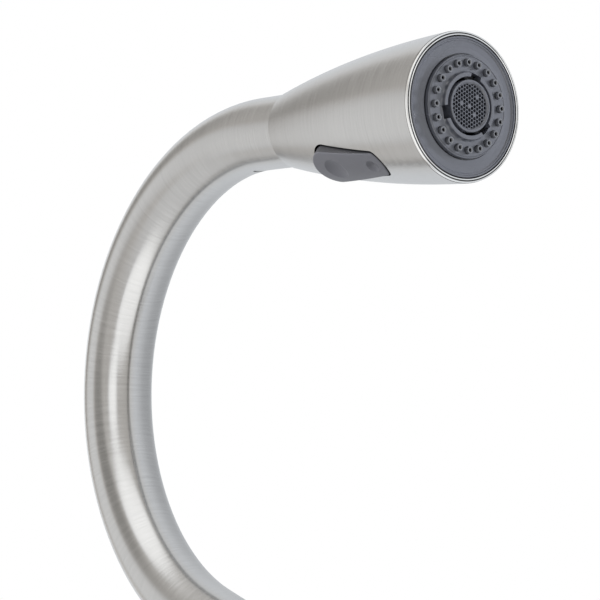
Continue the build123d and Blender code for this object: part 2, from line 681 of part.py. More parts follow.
# ------------------------------------------------------------------ spout
def spout():
    wall = Circle(TUBE_R) - Circle(TUBE_R - TUBE_WALL)
    tube = swept(wall, centreline(TUBE_FOOT_Z, TUBE_END), TUBE_FOOT_Z)
    screw_turn = ARC_TURN - math.degrees((DOCK_SCREW_BACK - TUBE_END) / ARC_R)
    on_line = on_arc(screw_turn)
    inward = (ARC_CENTRE - on_line).normalized()
    outside = on_line + inward * 2 * TUBE_R
    tube -= cross_rod(DOCK_SCREW_R + TOUCH, tuple(on_line), tuple(outside))
    nodes["spout_tube"] = tube
    bore_r = TUBE_R - TUBE_WALL
    screw_tip = on_line + inward * (bore_r - DOCK_SCREW_TIP)
    screw_end = on_line + inward * (TUBE_R - DOCK_SCREW_SUNK)
    nodes["dock_set_screw"] = cross_rod(DOCK_SCREW_R, tuple(screw_tip), tuple(screw_end))

    spigot_r = bore_r - TOUCH
    foot = TUBE_FOOT_Z
    step = HOUSING_TOP_Z + SLEEVE_STEP
    sleeve = turned(
        (SLEEVE_BORE_R, SLEEVE_BOTTOM_Z), (SLEEVE_R, SLEEVE_BOTTOM_Z), (SLEEVE_R, step),
        (TUBE_R, step), (TUBE_R, foot), (spigot_r, foot), (spigot_r, foot + SLEEVE_SPIGOT),
        (SLEEVE_BORE_R + SLEEVE_FUNNEL, foot + SLEEVE_SPIGOT), (SLEEVE_BORE_R, foot),
    )
    groove = RETAINER_R + FREE
    groove_r = SLEEVE_R - GROOVE_DEPTH
    sleeve -= ring(2 * SLEEVE_R, groove_r, RETAINER_Z - groove, RETAINER_Z + groove)
    bush_r = SLEEVE_R + RUN + BUSH_T
    seal_outer = bush_r - O_RING_PINCH
    seal_inner = seal_outer - O_RING_W
    seal_top = RETAINER_Z - groove - O_RING_T
    sleeve -= ring(2 * SLEEVE_R, seal_inner - TOUCH, seal_top - O_RING_T - TOUCH, seal_top + TOUCH)
    nodes["spout_sleeve"] = sleeve
    nodes["spout_o_ring"] = ring(seal_outer, seal_inner, seal_top - O_RING_T, seal_top)
    lows = (SLEEVE_BOTTOM_Z, HOUSING_TOP_Z - BUSH_H)
    bushes = [ring(bush_r, SLEEVE_R + RUN, low, low + BUSH_H) for low in lows]
    nodes["swivel_bushes"] = Compound(children=bushes)
    tip = groove_r + FREE
    nodes["spout_retainer_screw"] = cross_rod(
        RETAINER_R, (0, tip, RETAINER_Z), (0, HOUSING_NECK_R + RETAINER_HEAD, RETAINER_Z)
    )


def dock_and_hose():
    bore_r = TUBE_R - TUBE_WALL
    guide_r = HOSE_NUT_R + FREE
    collar = turned(
        (guide_r, DOCK_START + DOCK_FLARE), (guide_r, DOCK_END - DOCK_MOUTH), (guide_r + DOCK_MOUTH, DOCK_END),
        (bore_r - TOUCH, DOCK_END), (bore_r - TOUCH, DOCK_START), (guide_r + DOCK_MOUTH, DOCK_START),
    )
    nodes["dock_collar"] = HEAD * collar

    hose_length_end = TUBE_END + HOSE_END
    wall = Circle(HOSE_R) - Circle(HOSE_BORE_R)
    nodes["spray_hose"] = swept(wall, centreline(HOSE_FOOT_Z, hose_length_end), HOSE_FOOT_Z)

    foot = HOSE_FOOT_Z
    collar_low = foot - TAIL_COLLAR_H
    barb_r = HOSE_BORE_R - TOUCH
    nodes["hose_tail_fitting"] = turned(
        (TAIL_BORE_R, foot - HOSE_TAIL), (TAIL_R, foot - HOSE_TAIL), (TAIL_R, collar_low),
        (TAIL_COLLAR_R, collar_low), (TAIL_COLLAR_R, foot - TOUCH), (barb_r, foot - TOUCH),
        (barb_r, foot + TAIL_BARB), (TAIL_BORE_R, foot + TAIL_BARB),
    )

    flange_low = FERRULE_FLANGE - FLANGE_T
    ferrule_flange_r = CORE_SPIGOT_R - FREE
    nodes["hose_ferrule"] = HEAD * turned(
        (HOSE_R + RUN, FERRULE_START), (FERRULE_R, FERRULE_START), (FERRULE_R, flange_low),
        (ferrule_flange_r, flange_low), (ferrule_flange_r, FERRULE_FLANGE), (HOSE_BORE_R, FERRULE_FLANGE),
        (HOSE_BORE_R, flange_low), (HOSE_R + RUN, flange_low),
    )
    nodes["hose_washer"] = HEAD * ring(
        ferrule_flange_r, CORE_INLET_R, FERRULE_FLANGE, CORE_SPIGOT_END - RUN
    )
    cavity_r = CORE_SPIGOT_R + RUN
    nodes["hose_nut"] = HEAD * turned(
        (FERRULE_R + TOUCH, HOSE_NUT_START), (FERRULE_R + HOSE_NUT_LIP, HOSE_NUT_START),
        (HOSE_NUT_R, HOSE_NUT_START + HOSE_NUT_CONE), (HOSE_NUT_R, HOSE_NUT_END),
        (cavity_r, HOSE_NUT_END), (cavity_r, flange_low), (FERRULE_R + TOUCH, flange_low),
    )


# ------------------------------------------------------------------ spray head
def slot_outline(inset):
    """The rocker's opening seen along its radius: round at the rear, narrowing to a blunt nose."""
    rear_half = SLOT_REAR_HALF - inset
    front_half = SLOT_SHOULDER_HALF - inset
    rear = SLOT_REAR + inset
    front = SLOT_FRONT - inset
    nose_half = NOSE_HALF * front_half
    nose = SLOT_SHOULDER + NOSE_ALONG * (front - SLOT_SHOULDER)
    corner = ((front_half + nose_half) / 2 + NOSE_CORNER, (SLOT_SHOULDER + nose) / 2 + NOSE_CORNER)
    return make_face([
        ThreePointArc((-rear_half, SLOT_REAR_CENTRE), (0, rear), (rear_half, SLOT_REAR_CENTRE)),
        Line((rear_half, SLOT_REAR_CENTRE), (front_half, SLOT_SHOULDER)),
        ThreePointArc((front_half, SLOT_SHOULDER), corner, (nose_half, nose)),
        ThreePointArc((nose_half, nose), (0, front), (-nose_half, nose)),
        ThreePointArc((-nose_half, nose), (-corner[0], corner[1]), (-front_half, SLOT_SHOULDER)),
        Line((-front_half, SLOT_SHOULDER), (-rear_half, SLOT_REAR_CENTRE)),
    ])


def slot_prism(inset, low, high):
    """The opening's outline as a block, from one radius to another, in the rocker's frame."""
    across = Plane(origin=(low, 0, 0), x_dir=(0, 1, 0), z_dir=(1, 0, 0))
    return extrude(across * slot_outline(inset), high - low)


def about_pivot(angle):
    """Turn about the rocker's pin, in the rocker's frame."""
    pivot = Pos(TOGGLE_PIVOT_R, 0, TOGGLE_PIVOT)
    return pivot * Rot(0, angle, 0) * Pos(-TOGGLE_PIVOT_R, 0, -TOGGLE_PIVOT)


def across_pin(radius, half_length, away=TOGGLE_PIVOT_R):
    """A bar along the rocker's pin, in the rocker's frame."""
    return cross_rod(radius, (away, -half_length, TOGGLE_PIVOT), (away, half_length, TOGGLE_PIVOT))


def head_shell():
    end = HEAD_LENGTH - RIM_SEAT
    shell = bell(0, SEAM_GAP, end) - bell(SHELL_WALL, SEAM_GAP, end)
    shell += ring(HEAD_NECK_R - TOUCH, HOSE_NUT_R + FREE, SEAM_GAP, SEAM_GAP + NECK_FLOOR)
    shell -= Rot(0, 0, TOGGLE_ANGLE) * slot_prism(0, CORE_WAIST_R, 2 * HEAD_RIM_R)
    nodes["head_shell"] = HEAD * shell

    # The polished rim fits inside the shell and stands a little proud of it.
    rim_low = HEAD_LENGTH - RIM_DEPTH
    rim_top = HEAD_LENGTH + RIM_PROUD
    seat_r = head_r(rim_low) - SHELL_WALL - TOUCH
    nodes["rim_ring"] = HEAD * turned(
        (FACE_R + TOUCH, rim_low), (FACE_R + TOUCH, rim_top), (HEAD_RIM_R - 2 * RIM_EDGE, rim_top),
        (HEAD_RIM_R - RIM_EDGE / 3, rim_top - RIM_EDGE), (HEAD_RIM_R - RIM_EDGE / 3, end),
        (seat_r, end), (seat_r, rim_low),
    )


def head_core():
    """Water ways: inlet, check valve, the rocker's diverter bore, and one way each to stream and spray."""
    seat_r = head_r(CORE_SHOULDER) - SHELL_WALL - TOUCH
    core = rod(CORE_SPIGOT_R, CORE_SPIGOT_END, CORE_SHOULDER)
    core += turned(
        (0, CORE_SHOULDER), (seat_r, CORE_SHOULDER), (seat_r, CORE_SHOULDER + CORE_SHOULDER_H),
        (CORE_WAIST_R, CORE_WAIST_START), (0, CORE_WAIST_START),
    )
    core += rod(CORE_WAIST_R, CORE_WAIST_START, CORE_FRONT)
    core += rod(CORE_FLANGE_R, CORE_FRONT - CORE_FLANGE_T, CORE_FRONT)
    core -= rod(CORE_INLET_R, CORE_SPIGOT_END, CHECK_START)
    core -= rod(CHECK_R + TOUCH, CHECK_START, CHECK_START + CHECK_LENGTH)

    bore_low = SPOOL_START - SPOOL_ROOM
    feed = bore_low + WELL_R
    steady = TOGGLE_PIVOT + STEADY_WAY
    spray = TOGGLE_PIVOT + SPRAY_WAY
    ways = rod(SPOOL_R + RUN, bore_low, SPOOL_END + SPOOL_ROOM, SPOOL_RADIUS)
    ways += rod(WELL_R, CHECK_START + CHECK_LENGTH - CHECK_ROOF, feed + CROSS_R / 2)
    ways += cross_rod(FEED_R, (0, 0, feed), (SPOOL_RADIUS, 0, feed))
    ways += rod(FEED_R, steady - FEED_R, CORE_FRONT)
    ways += cross_rod(CROSS_R, (0, 0, steady), (SPOOL_RADIUS, 0, steady))
    ways += rod(FEED_R, spray - FEED_R, CORE_FRONT, -SPOOL_RADIUS)
    ways += cross_rod(CROSS_R, (-SPOOL_RADIUS, 0, spray), (0, 0, spray))
    ways += Pos(SPOOL_RADIUS, 0, TOGGLE_PIVOT) * Box(
        CORE_WAIST_R, 2 * (PEG_R + PEG_WINDOW_PLAY), PEG_WINDOW, align=(Align.MIN, Align.CENTER, Align.CENTER)
    )
    turn = Rot(0, 0, TOGGLE_ANGLE)
    core -= turn * ways
    core += turn * pin_ears()
    core -= turn * across_pin(TOGGLE_PIN_R + TOUCH, EAR_OUTER + TOUCH)
    core -= ring(
        FACE_SEAL_R + TOUCH, FACE_SEAL_R - FACE_SEAL_W - TOUCH, CORE_FRONT - FACE_SEAL_T, CORE_FRONT
    )
    nodes["head_core"] = HEAD * core
    nodes["toggle_pin"] = TOGGLE * across_pin(TOGGLE_PIN_R, EAR_OUTER)


def pin_ears():
    """Two ears on the core that carry the rocker's pin."""
    thick = EAR_OUTER - EAR_INNER
    ear = Pos(EAR_ROOT, EAR_INNER, TOGGLE_PIVOT) * Box(
        TOGGLE_PIVOT_R - EAR_ROOT, thick, EAR_LENGTH, align=(Align.MIN, Align.MIN, Align.CENTER)
    )
    ear += cross_rod(
        EAR_END_R, (TOGGLE_PIVOT_R, EAR_INNER, TOGGLE_PIVOT), (TOGGLE_PIVOT_R, EAR_OUTER, TOGGLE_PIVOT)
    )
    return ear + mirror(ear, about=Plane.XZ) - rod(SPOOL_R + RUN, SPOOL_START, SPOOL_END, SPOOL_RADIUS)


def check_valve():
    top = CHECK_START + CHECK_LENGTH
    seat = CHECK_START + CHECK_SEAT
    roof = top - CHECK_ROOF
    case = rod(CHECK_R, CHECK_START, top)
    case -= rod(CHECK_R - CHECK_WALL, seat, roof)
    case -= rod(POPPET_R - CHECK_WALL / 2, CHECK_START, seat)
    case -= rod(POPPET_STEM_R + RUN, roof, top)
    for hole in around(CHECK_HOLES, 0, rod(CHECK_HOLE_R, roof, top, CHECK_HOLE_PITCH_R)):
        case -= hole
    nodes["check_valve_case"] = HEAD * case
    poppet_back = seat + RUN + POPPET_T
    poppet = rod(POPPET_R, seat + RUN, poppet_back) + rod(POPPET_STEM_R, seat + RUN, top - FREE)
    nodes["check_valve_poppet"] = HEAD * poppet

    rise = roof - poppet_back - 2 * SPRING_WIRE_R
    helix = Helix(pitch=rise / SPRING_TURNS, height=rise, radius=SPRING_R)
    coil = Pos(0, 0, poppet_back + SPRING_WIRE_R) * helix
    section = Plane(origin=coil @ 0, z_dir=coil % 0) * Circle(SPRING_WIRE_R)
    nodes["check_valve_spring"] = HEAD * sweep(section, path=coil)
    nodes["inlet_screen"] = HEAD * rod(CORE_INLET_R - TOUCH, CORE_SPIGOT_END, CORE_SPIGOT_END + SCREEN_T)


def crown_r(along):
    """Radius of the rocker's outer face about the head axis: one arc from its rear to its nose."""
    middle = (SLOT_REAR + SLOT_FRONT) / 2
    arc_along, arc_centre, arc_radius = arc_through(
        (SLOT_REAR, head_r(SLOT_REAR) + CROWN_REAR), (middle, head_r(middle) + CROWN_MIDDLE),
        (SLOT_FRONT, head_r(SLOT_FRONT) + CROWN_FRONT),
    )
    return arc_centre + math.sqrt(arc_radius**2 - (along - arc_along) ** 2)


def dimple(offset, radius, depth):
    """A ball that presses a round dimple into the rocker's face, at a distance from its pin."""
    ball_r = (radius**2 + depth**2) / (2 * depth)
    along = TOGGLE_PIVOT + offset
    return Pos(crown_r(along) + ball_r - depth, 0, along) * Sphere(ball_r)


def toggle():
    """Rocker: it pivots at its middle. At rest its front is pressed in and its rear stands out."""
    low = TOGGLE_PIVOT_R + TOGGLE_DEPTH
    high = 2 * HEAD_RIM_R
    cap = slot_prism(TOGGLE_GAP, low, high)
    for share in (0.5, 1.0):
        cap &= about_pivot(-TOGGLE_THROW * share) * slot_prism(TOGGLE_GAP, low - TOGGLE_DEPTH, high)
    middle = (SLOT_REAR + SLOT_FRONT) / 2
    crown = ThreePointArc(*((crown_r(along), along) for along in (SLOT_REAR, middle, SLOT_FRONT)))
    rest = Polyline(crown @ 1, (0, SLOT_FRONT), (0, SLOT_REAR), crown @ 0)
    cap &= revolve(Plane.XZ * make_face([crown, rest]), Axis.Z)
    outer_face = cap.faces().sort_by(Axis.X)[-1]
    cap = fillet(outer_face.edges(), TOGGLE_EDGE)
    cap -= dimple(*REAR_DIMPLE)
    cap -= dimple(*FRONT_DIMPLE)
    boss_half = EAR_INNER - FREE
    boss = across_pin(ROCKER_BOSS_R, boss_half)
    boss += Pos(TOGGLE_PIVOT_R, 0, TOGGLE_PIVOT) * Box(
        ROCKER_FOOT, 2 * boss_half, ROCKER_FOOT_L, align=(Align.MIN, Align.CENTER, Align.CENTER)
    )
    peg = cross_rod(PEG_NECK_R, (TOGGLE_PIVOT_R, 0, TOGGLE_PIVOT), (SPOOL_RADIUS, 0, TOGGLE_PIVOT))
    peg += Pos(SPOOL_RADIUS, 0, TOGGLE_PIVOT) * Sphere(PEG_R)
    rocker = cap + boss + peg
    rocker -= across_pin(TOGGLE_PIN_R + RUN, EAR_OUTER)
    nodes["toggle"] = TOGGLE * rocker

    spool = rod(SPOOL_R, SPOOL_START, SPOOL_END, SPOOL_RADIUS)
    rings = []
    for offset in SPOOL_RINGS:
        along = TOGGLE_PIVOT + offset
        low, high = along - SPOOL_RING_W / 2, along + SPOOL_RING_W / 2
        spool -= Pos(SPOOL_RADIUS, 0, 0) * ring(2 * SPOOL_R, SPOOL_R - SPOOL_GROOVE, low, high)
        rings.append(Pos(SPOOL_RADIUS, 0, 0) * ring(SPOOL_R, SPOOL_R - SPOOL_GROOVE, low, high))
    socket_floor = SPOOL_RADIUS - PEG_R - FREE
    spool -= cross_rod(PEG_R + RUN, (socket_floor, 0, TOGGLE_PIVOT), (4 * SPOOL_R, 0, TOGGLE_PIVOT))
    nodes["diverter_spool"] = TOGGLE * spool
    nodes["diverter_o_rings"] = TOGGLE * Compound(children=rings)


# ------------------------------------------------------------------ spray face
def spray_face():
    rim = HEAD_LENGTH
    floor = rim - FACE_T
    groove_r = FACE_R - FACE_GROOVE_BACK
    lip = rim + FACE_LIP
    nodes["face_ring"] = HEAD * turned(
        (PLATE_R + TOUCH, floor), (FACE_R, floor), (FACE_R, lip - FACE_EDGE), (FACE_R - FACE_EDGE, lip),
        (groove_r + FACE_EDGE, lip), (groove_r, rim), (PLATE_R + 2 * FACE_EDGE, rim - FACE_DISH),
        (PLATE_R + TOUCH, rim - FACE_DISH),
    )
    top = rim + PLATE_TOP
    under = top - PLATE_T
    plate = turned(
        (MOUTH_R, under), (PLATE_R, under), (PLATE_R, rim), (PLATE_TOP_R, top - PLATE_EDGE),
        (PLATE_TOP_R - PLATE_EDGE, top), (COLLAR_RING_R + PLATE_EDGE, top),
        (COLLAR_RING_R, top + PLATE_EDGE), (COLLAR_RING_R - PLATE_EDGE, rim + COLLAR_RING_TOP),
        (MOUTH_R, rim + COLLAR_RING_TOP),
    )
    key = Box(COLLAR_RING_R + TOUCH, KEY_W, PLATE_T, align=(Align.MIN, Align.CENTER, Align.MIN))
    for cut in around(KEY_COUNT, KEY_PHASE, Pos(0, 0, top - KEY_FLOOR) * key):
        plate -= cut
    hole = rod(NOZZLE_R + NOZZLE_HOLE_GAP, under, top, NOZZLE_CIRCLE_R)
    for cut in around(NOZZLE_COUNT, NOZZLE_PHASE, hole):
        plate -= cut
    nodes["nozzle_plate"] = HEAD * plate

    mat_outer = PLATE_R - MAT_MARGIN
    mat_inner = MOUTH_R + MAT_INNER
    mat = ring(mat_outer, mat_inner, under - MAT_T, under)
    nub = rod(NOZZLE_R, under, rim + NOZZLE_TIP, NOZZLE_CIRCLE_R)
    bore = rod(NOZZLE_BORE_R, under - MAT_T, rim + NOZZLE_TIP, NOZZLE_CIRCLE_R)
    for piece in around(NOZZLE_COUNT, NOZZLE_PHASE, nub):
        mat += piece
    for cut in around(NOZZLE_COUNT, NOZZLE_PHASE, bore):
        mat -= cut
    nodes["nozzle_mat"] = HEAD * mat

    # The distributor carries plate and mat, and keeps the two water ways apart.
    back = under - MAT_T
    distributor = ring(FACE_R - SHELL_WALL, AERATOR_R + FREE, CORE_FRONT, floor)
    distributor += ring(PLATE_R, mat_outer + TOUCH, floor, under)
    distributor += ring(mat_inner - TOUCH, MOUTH_R, floor, under)
    distributor += ring(PLATE_R, MOUTH_R, floor, back - SPREADER_T)
    for cut in around(SPREADER_HOLES, 0, rod(SPREADER_HOLE_R, CORE_FRONT, back, NOZZLE_CIRCLE_R)):
        distributor -= cut
    nodes["distributor"] = HEAD * distributor

    nodes["face_seal"] = HEAD * ring(
        FACE_SEAL_R, FACE_SEAL_R - FACE_SEAL_W, CORE_FRONT - FACE_SEAL_T, CORE_FRONT
    )
    aerator_top = rim + AERATOR_TOP
    aerator_low = aerator_top - AERATOR_DEPTH
    nodes["aerator_housing"] = HEAD * turned(
        (AERATOR_BORE_R, aerator_low), (AERATOR_R, aerator_low), (AERATOR_R, aerator_top - PLATE_EDGE),
        (AERATOR_R - PLATE_EDGE, aerator_top), (AERATOR_BORE_R, aerator_top),
    )
    nodes["aerator_grid"] = HEAD * aerator_grid(rim + GRID_TOP - GRID_T, rim + GRID_TOP)
    nodes["aerator_o_ring"] = HEAD * ring(
        AERATOR_R + AERATOR_SEAL_W, AERATOR_BORE_R, aerator_low - AERATOR_SEAL_T, aerator_low
    )


def aerator_grid(low, high):
    """Honeycomb that straightens the stream: hexagonal cells all over a disc."""
    cell = RegularPolygon((GRID_PITCH - GRID_BAR) / 2, 6, major_radius=False, rotation=30)
    holes = []
    for row in range(-GRID_RINGS, GRID_RINGS + 1):
        for column in range(-2 * GRID_RINGS, 2 * GRID_RINGS + 1):
            x = (column + row / 2) * GRID_PITCH
            y = row * GRID_PITCH * math.sqrt(3) / 2
            if math.hypot(x, y) < AERATOR_BORE_R - GRID_EDGE:
                holes.append(Pos(x, y) * cell)
    return Pos(0, 0, low) * extrude(Circle(AERATOR_BORE_R - TOUCH) - holes, high - low)


# ------------------------------------------------------------------ make and write
base()
body()
shank_and_clamp()
tubes()
cartridge()
handle()
spout()
dock_and_hose()
head_shell()
head_core()
check_valve()
toggle()
spray_face()

for name, shape in nodes.items():
    export_step(shape, f"parts/{name}.step")
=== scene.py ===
"""Looks of the pull-down kitchen faucet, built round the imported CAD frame.

Everything is in metres, in the frame's own axes: the deck is the plane z = 0 and the riser stands on +Z.
"""
import json
import math

import bmesh
import bpy
from mathutils import Matrix, Vector


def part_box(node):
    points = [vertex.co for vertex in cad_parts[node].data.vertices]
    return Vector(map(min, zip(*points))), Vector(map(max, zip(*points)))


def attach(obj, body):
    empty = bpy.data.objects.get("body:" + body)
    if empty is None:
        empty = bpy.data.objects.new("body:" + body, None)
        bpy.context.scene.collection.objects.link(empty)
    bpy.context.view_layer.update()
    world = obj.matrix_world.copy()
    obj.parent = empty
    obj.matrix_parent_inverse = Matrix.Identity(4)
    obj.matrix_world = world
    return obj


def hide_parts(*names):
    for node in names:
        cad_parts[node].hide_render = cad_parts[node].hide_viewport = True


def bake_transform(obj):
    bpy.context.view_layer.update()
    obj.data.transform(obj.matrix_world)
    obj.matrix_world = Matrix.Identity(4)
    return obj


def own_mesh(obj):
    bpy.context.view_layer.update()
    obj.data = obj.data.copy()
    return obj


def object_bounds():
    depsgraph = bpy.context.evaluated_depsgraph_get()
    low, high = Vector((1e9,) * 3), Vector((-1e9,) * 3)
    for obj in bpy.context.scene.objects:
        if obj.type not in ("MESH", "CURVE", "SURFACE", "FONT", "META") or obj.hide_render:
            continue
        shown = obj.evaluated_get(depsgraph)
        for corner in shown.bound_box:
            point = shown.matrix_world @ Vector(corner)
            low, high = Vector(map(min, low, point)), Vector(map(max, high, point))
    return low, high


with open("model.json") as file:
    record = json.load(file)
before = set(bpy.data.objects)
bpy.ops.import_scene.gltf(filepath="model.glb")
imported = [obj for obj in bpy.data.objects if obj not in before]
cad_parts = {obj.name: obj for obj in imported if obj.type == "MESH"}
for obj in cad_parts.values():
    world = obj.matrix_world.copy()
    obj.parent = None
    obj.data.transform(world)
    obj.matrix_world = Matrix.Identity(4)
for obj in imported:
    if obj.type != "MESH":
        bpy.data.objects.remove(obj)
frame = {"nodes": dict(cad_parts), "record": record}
CAD_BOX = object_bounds()

MM = 0.001
X_AXIS = Vector((1, 0, 0))
Z_AXIS = Vector((0, 0, 1))

JOINTS = {shadow_line["name"]: shadow_line for shadow_line in frame["record"]["behaviour"]["joints"]}
HEAD_AXIS = Vector(JOINTS["head_swivel"]["axis"]).normalized()
SEAM = Vector(JOINTS["head_swivel"]["pos_m"])
INWARD = X_AXIS.cross(HEAD_AXIS).normalized()
VALVE_ORIGIN = Vector(JOINTS["temperature"]["pos_m"])

# The gooseneck's arc, from the spout's box and the tilt of the head. TUBE_END is its straight tail.
TUBE_R = (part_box("spout_tube")[1].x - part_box("spout_tube")[0].x) / 2
TILT = math.acos(-HEAD_AXIS.z)
TUBE_END = 19.5 * MM
ARC_R = (-SEAM.y - TUBE_END * math.sin(TILT)) / (1 + math.cos(TILT))
ARC_TURN = math.pi - TILT
ARC_CENTRE = Vector((0, -ARC_R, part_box("spout_tube")[1].z - TUBE_R - ARC_R))
ARC_END = ARC_CENTRE + Vector((0, math.cos(ARC_TURN), math.sin(ARC_TURN))) * ARC_R

# The valve boss on the body: how near to its axis it reaches, and where it starts on +X.
BOSS_NEAR = 20.5 * MM
BOSS_START = 23.0 * MM


def from_seam(along, inward, side):
    """The point so many millimetres along the head's axis, towards the riser and to +X, from the seam."""
    return SEAM + in_head_frame(along, inward, side) * MM


def in_head_frame(along, inward, side):
    """A direction given along the head's axis, towards the riser and to +X."""
    return HEAD_AXIS * along + INWARD * inward + X_AXIS * side


# ---------------------------------------------------------------- camera and stage
WHITE = (1.0, 1.0, 1.0)
FLOOR_DROP = 0.80         # from the object's lowest point to the floor
FLOOR_HALF = 30.0
FLOOR_GREY = (0.9, 0.9, 0.9)
FLOOR_GLOW = 0.7          # share of plain white that the camera sees in the paper, beside its light

# The photograph's camera, in the head's own frame (along, inward, side): its place in millimetres from the
# seam, the direction that it looks in and the one to its right.
CAMERA_LENS = 152.148
CAMERA_SENSOR = 36.0
CAMERA_PLACE = (747.706, 122.461, -602.049)
CAMERA_FORWARD = (-0.77644, -0.05975, 0.62735)
CAMERA_RIGHT = (0.62925, -0.01917, 0.77697)

# The studio that metal mirrors, by direction: a white backdrop on the +X side, and on the other side a pale
# room with soft boxes and dark flags. Each has a direction, the degrees that it reaches, its soft edge and
# what it adds to the room's level. A level of 1 is as bright as the white background.
ROOM_LEVEL = 0.74
ROOM_FILL = 0.36          # the even light of the room on matt surfaces, beside the lamps
PANELS = (
    ((-0.55, -0.83, 0.05), 24.0, 9.0, 1.0),      # soft box in front
    ((-0.5, 0.37, -0.78), 25.0, 6.0, 0.85),      # soft box below
    ((-0.8, -0.27, -0.54), 8.0, 11.0, 1.05),     # strip at the side
    ((-0.93, -0.1, 0.33), 9.0, 14.0, -0.36),     # dark flag at the side
    ((0.05, 0.0, 1.0), 14.0, 20.0, -0.3),        # dark flag above
    ((-0.3, 0.9, -0.2), 35.0, 20.0, 0.22),       # wall at the back
    ((-0.5, 0.35, 0.75), 14.0, 16.0, 0.34),      # reflector above the head
)
BACKDROP = (1.02, 0.62)   # level of the backdrop beside the room, and at its far side
EDGE_LEVEL = 0.35         # of the dark line where backdrop and room meet, as a share
COOL_TINT = (0.97, 1.0, 1.04)
WARM_TINT = (1.035, 1.0, 0.955)

LAMPS = (                 # name, direction from the seam, distance, size in metres, watts
    ("face_key", (0.82, -0.35, -0.42), 1.4, 0.2, 26.0),
    ("top_key", (-0.3, -0.35, 0.9), 1.6, 0.6, 30.0),
    ("side_key", (-0.85, 0.1, 0.5), 1.4, 0.3, 20.0),
)


def make_camera():
    """The photograph's camera: below and in front of the spray head, on the side of its rocker."""
    data = bpy.data.cameras.new("camera")
    data.lens = CAMERA_LENS
    data.sensor_width = CAMERA_SENSOR
    data.clip_start = 0.01
    data.clip_end = 30.0
    camera = bpy.data.objects.new("camera", data)
    bpy.context.scene.collection.objects.link(camera)
    right = in_head_frame(*CAMERA_RIGHT).normalized()
    forward = in_head_frame(*CAMERA_FORWARD).normalized()
    up = right.cross(forward).normalized()
    turn = Matrix((right, up, -forward)).transposed()
    camera.matrix_world = Matrix.Translation(from_seam(*CAMERA_PLACE)) @ turn.to_4x4()
    bpy.context.scene.camera = camera


class Graph:
    """Short calls for building one node tree. Each gives back the output of the node that it makes."""

    def __init__(self, tree):
        self.tree = tree

    def node(self, kind, **settings):
        """The node itself, with its settings."""
        made = self.tree.nodes.new(kind)
        for key, value in settings.items():
            setattr(made, key, value)
        return made

    def feed(self, socket, value):
        """Links a socket to an output, or sets it to a plain value."""
        if isinstance(value, bpy.types.NodeSocket):
            self.tree.links.new(value, socket)
        else:
            socket.default_value = value

    def math(self, operation, *values, clamp=False):
        made = self.node("ShaderNodeMath", operation=operation, use_clamp=clamp)
        for socket, value in zip(made.inputs, values):
            self.feed(socket, value)
        return made.outputs[0]

    def vector(self, operation, *values):
        made = self.node("ShaderNodeVectorMath", operation=operation)
        for socket, value in zip(made.inputs, values):
            self.feed(socket, value)
        return made.outputs["Value" if operation in ("DOT_PRODUCT", "LENGTH") else "Vector"]

    def combine(self, x, y, z):
        made = self.node("ShaderNodeCombineXYZ")
        for socket, value in zip(made.inputs, (x, y, z)):
            self.feed(socket, value)
        return made.outputs[0]

    def smooth(self, value, low, high):
        """0 below low, 1 above high, and a soft step between them."""
        made = self.node("ShaderNodeMapRange", interpolation_type="SMOOTHSTEP")
        for socket, given in zip(made.inputs, (value, low, high, 0.0, 1.0)):
            self.feed(socket, given)
        return made.outputs[0]

    def spread(self, value, low, high):
        """Moves a value of 0..1 to the range low..high."""
        made = self.node("ShaderNodeMapRange")
        for socket, given in zip(made.inputs, (value, 0.0, 1.0, low, high)):
            self.feed(socket, given)
        return made.outputs[0]

    def mix(self, share, first, second):
        made = self.node("ShaderNodeMix", data_type="RGBA")
        self.feed(made.inputs["Factor"], share)
        self.feed(made.inputs[6], first)
        self.feed(made.inputs[7], second)
        return made.outputs[2]

    def mix_vectors(self, share, first, second):
        made = self.node("ShaderNodeMix", data_type="VECTOR")
        self.feed(made.inputs["Factor"], share)
        self.feed(made.inputs[4], first)
        self.feed(made.inputs[5], second)
        return made.outputs[1]

    def noise(self, place, scale, detail=2.0, roughness=0.5):
        made = self.node("ShaderNodeTexNoise")
        self.feed(made.inputs["Vector"], place)
        made.inputs["Scale"].default_value = scale
        made.inputs["Detail"].default_value = detail
        made.inputs["Roughness"].default_value = roughness
        return made.outputs["Fac"]

    def bump(self, height, strength, distance):
        made = self.node("ShaderNodeBump")
        made.inputs["Strength"].default_value = strength
        made.inputs["Distance"].default_value = distance
        self.feed(made.inputs["Height"], height)
        return made.outputs[0]


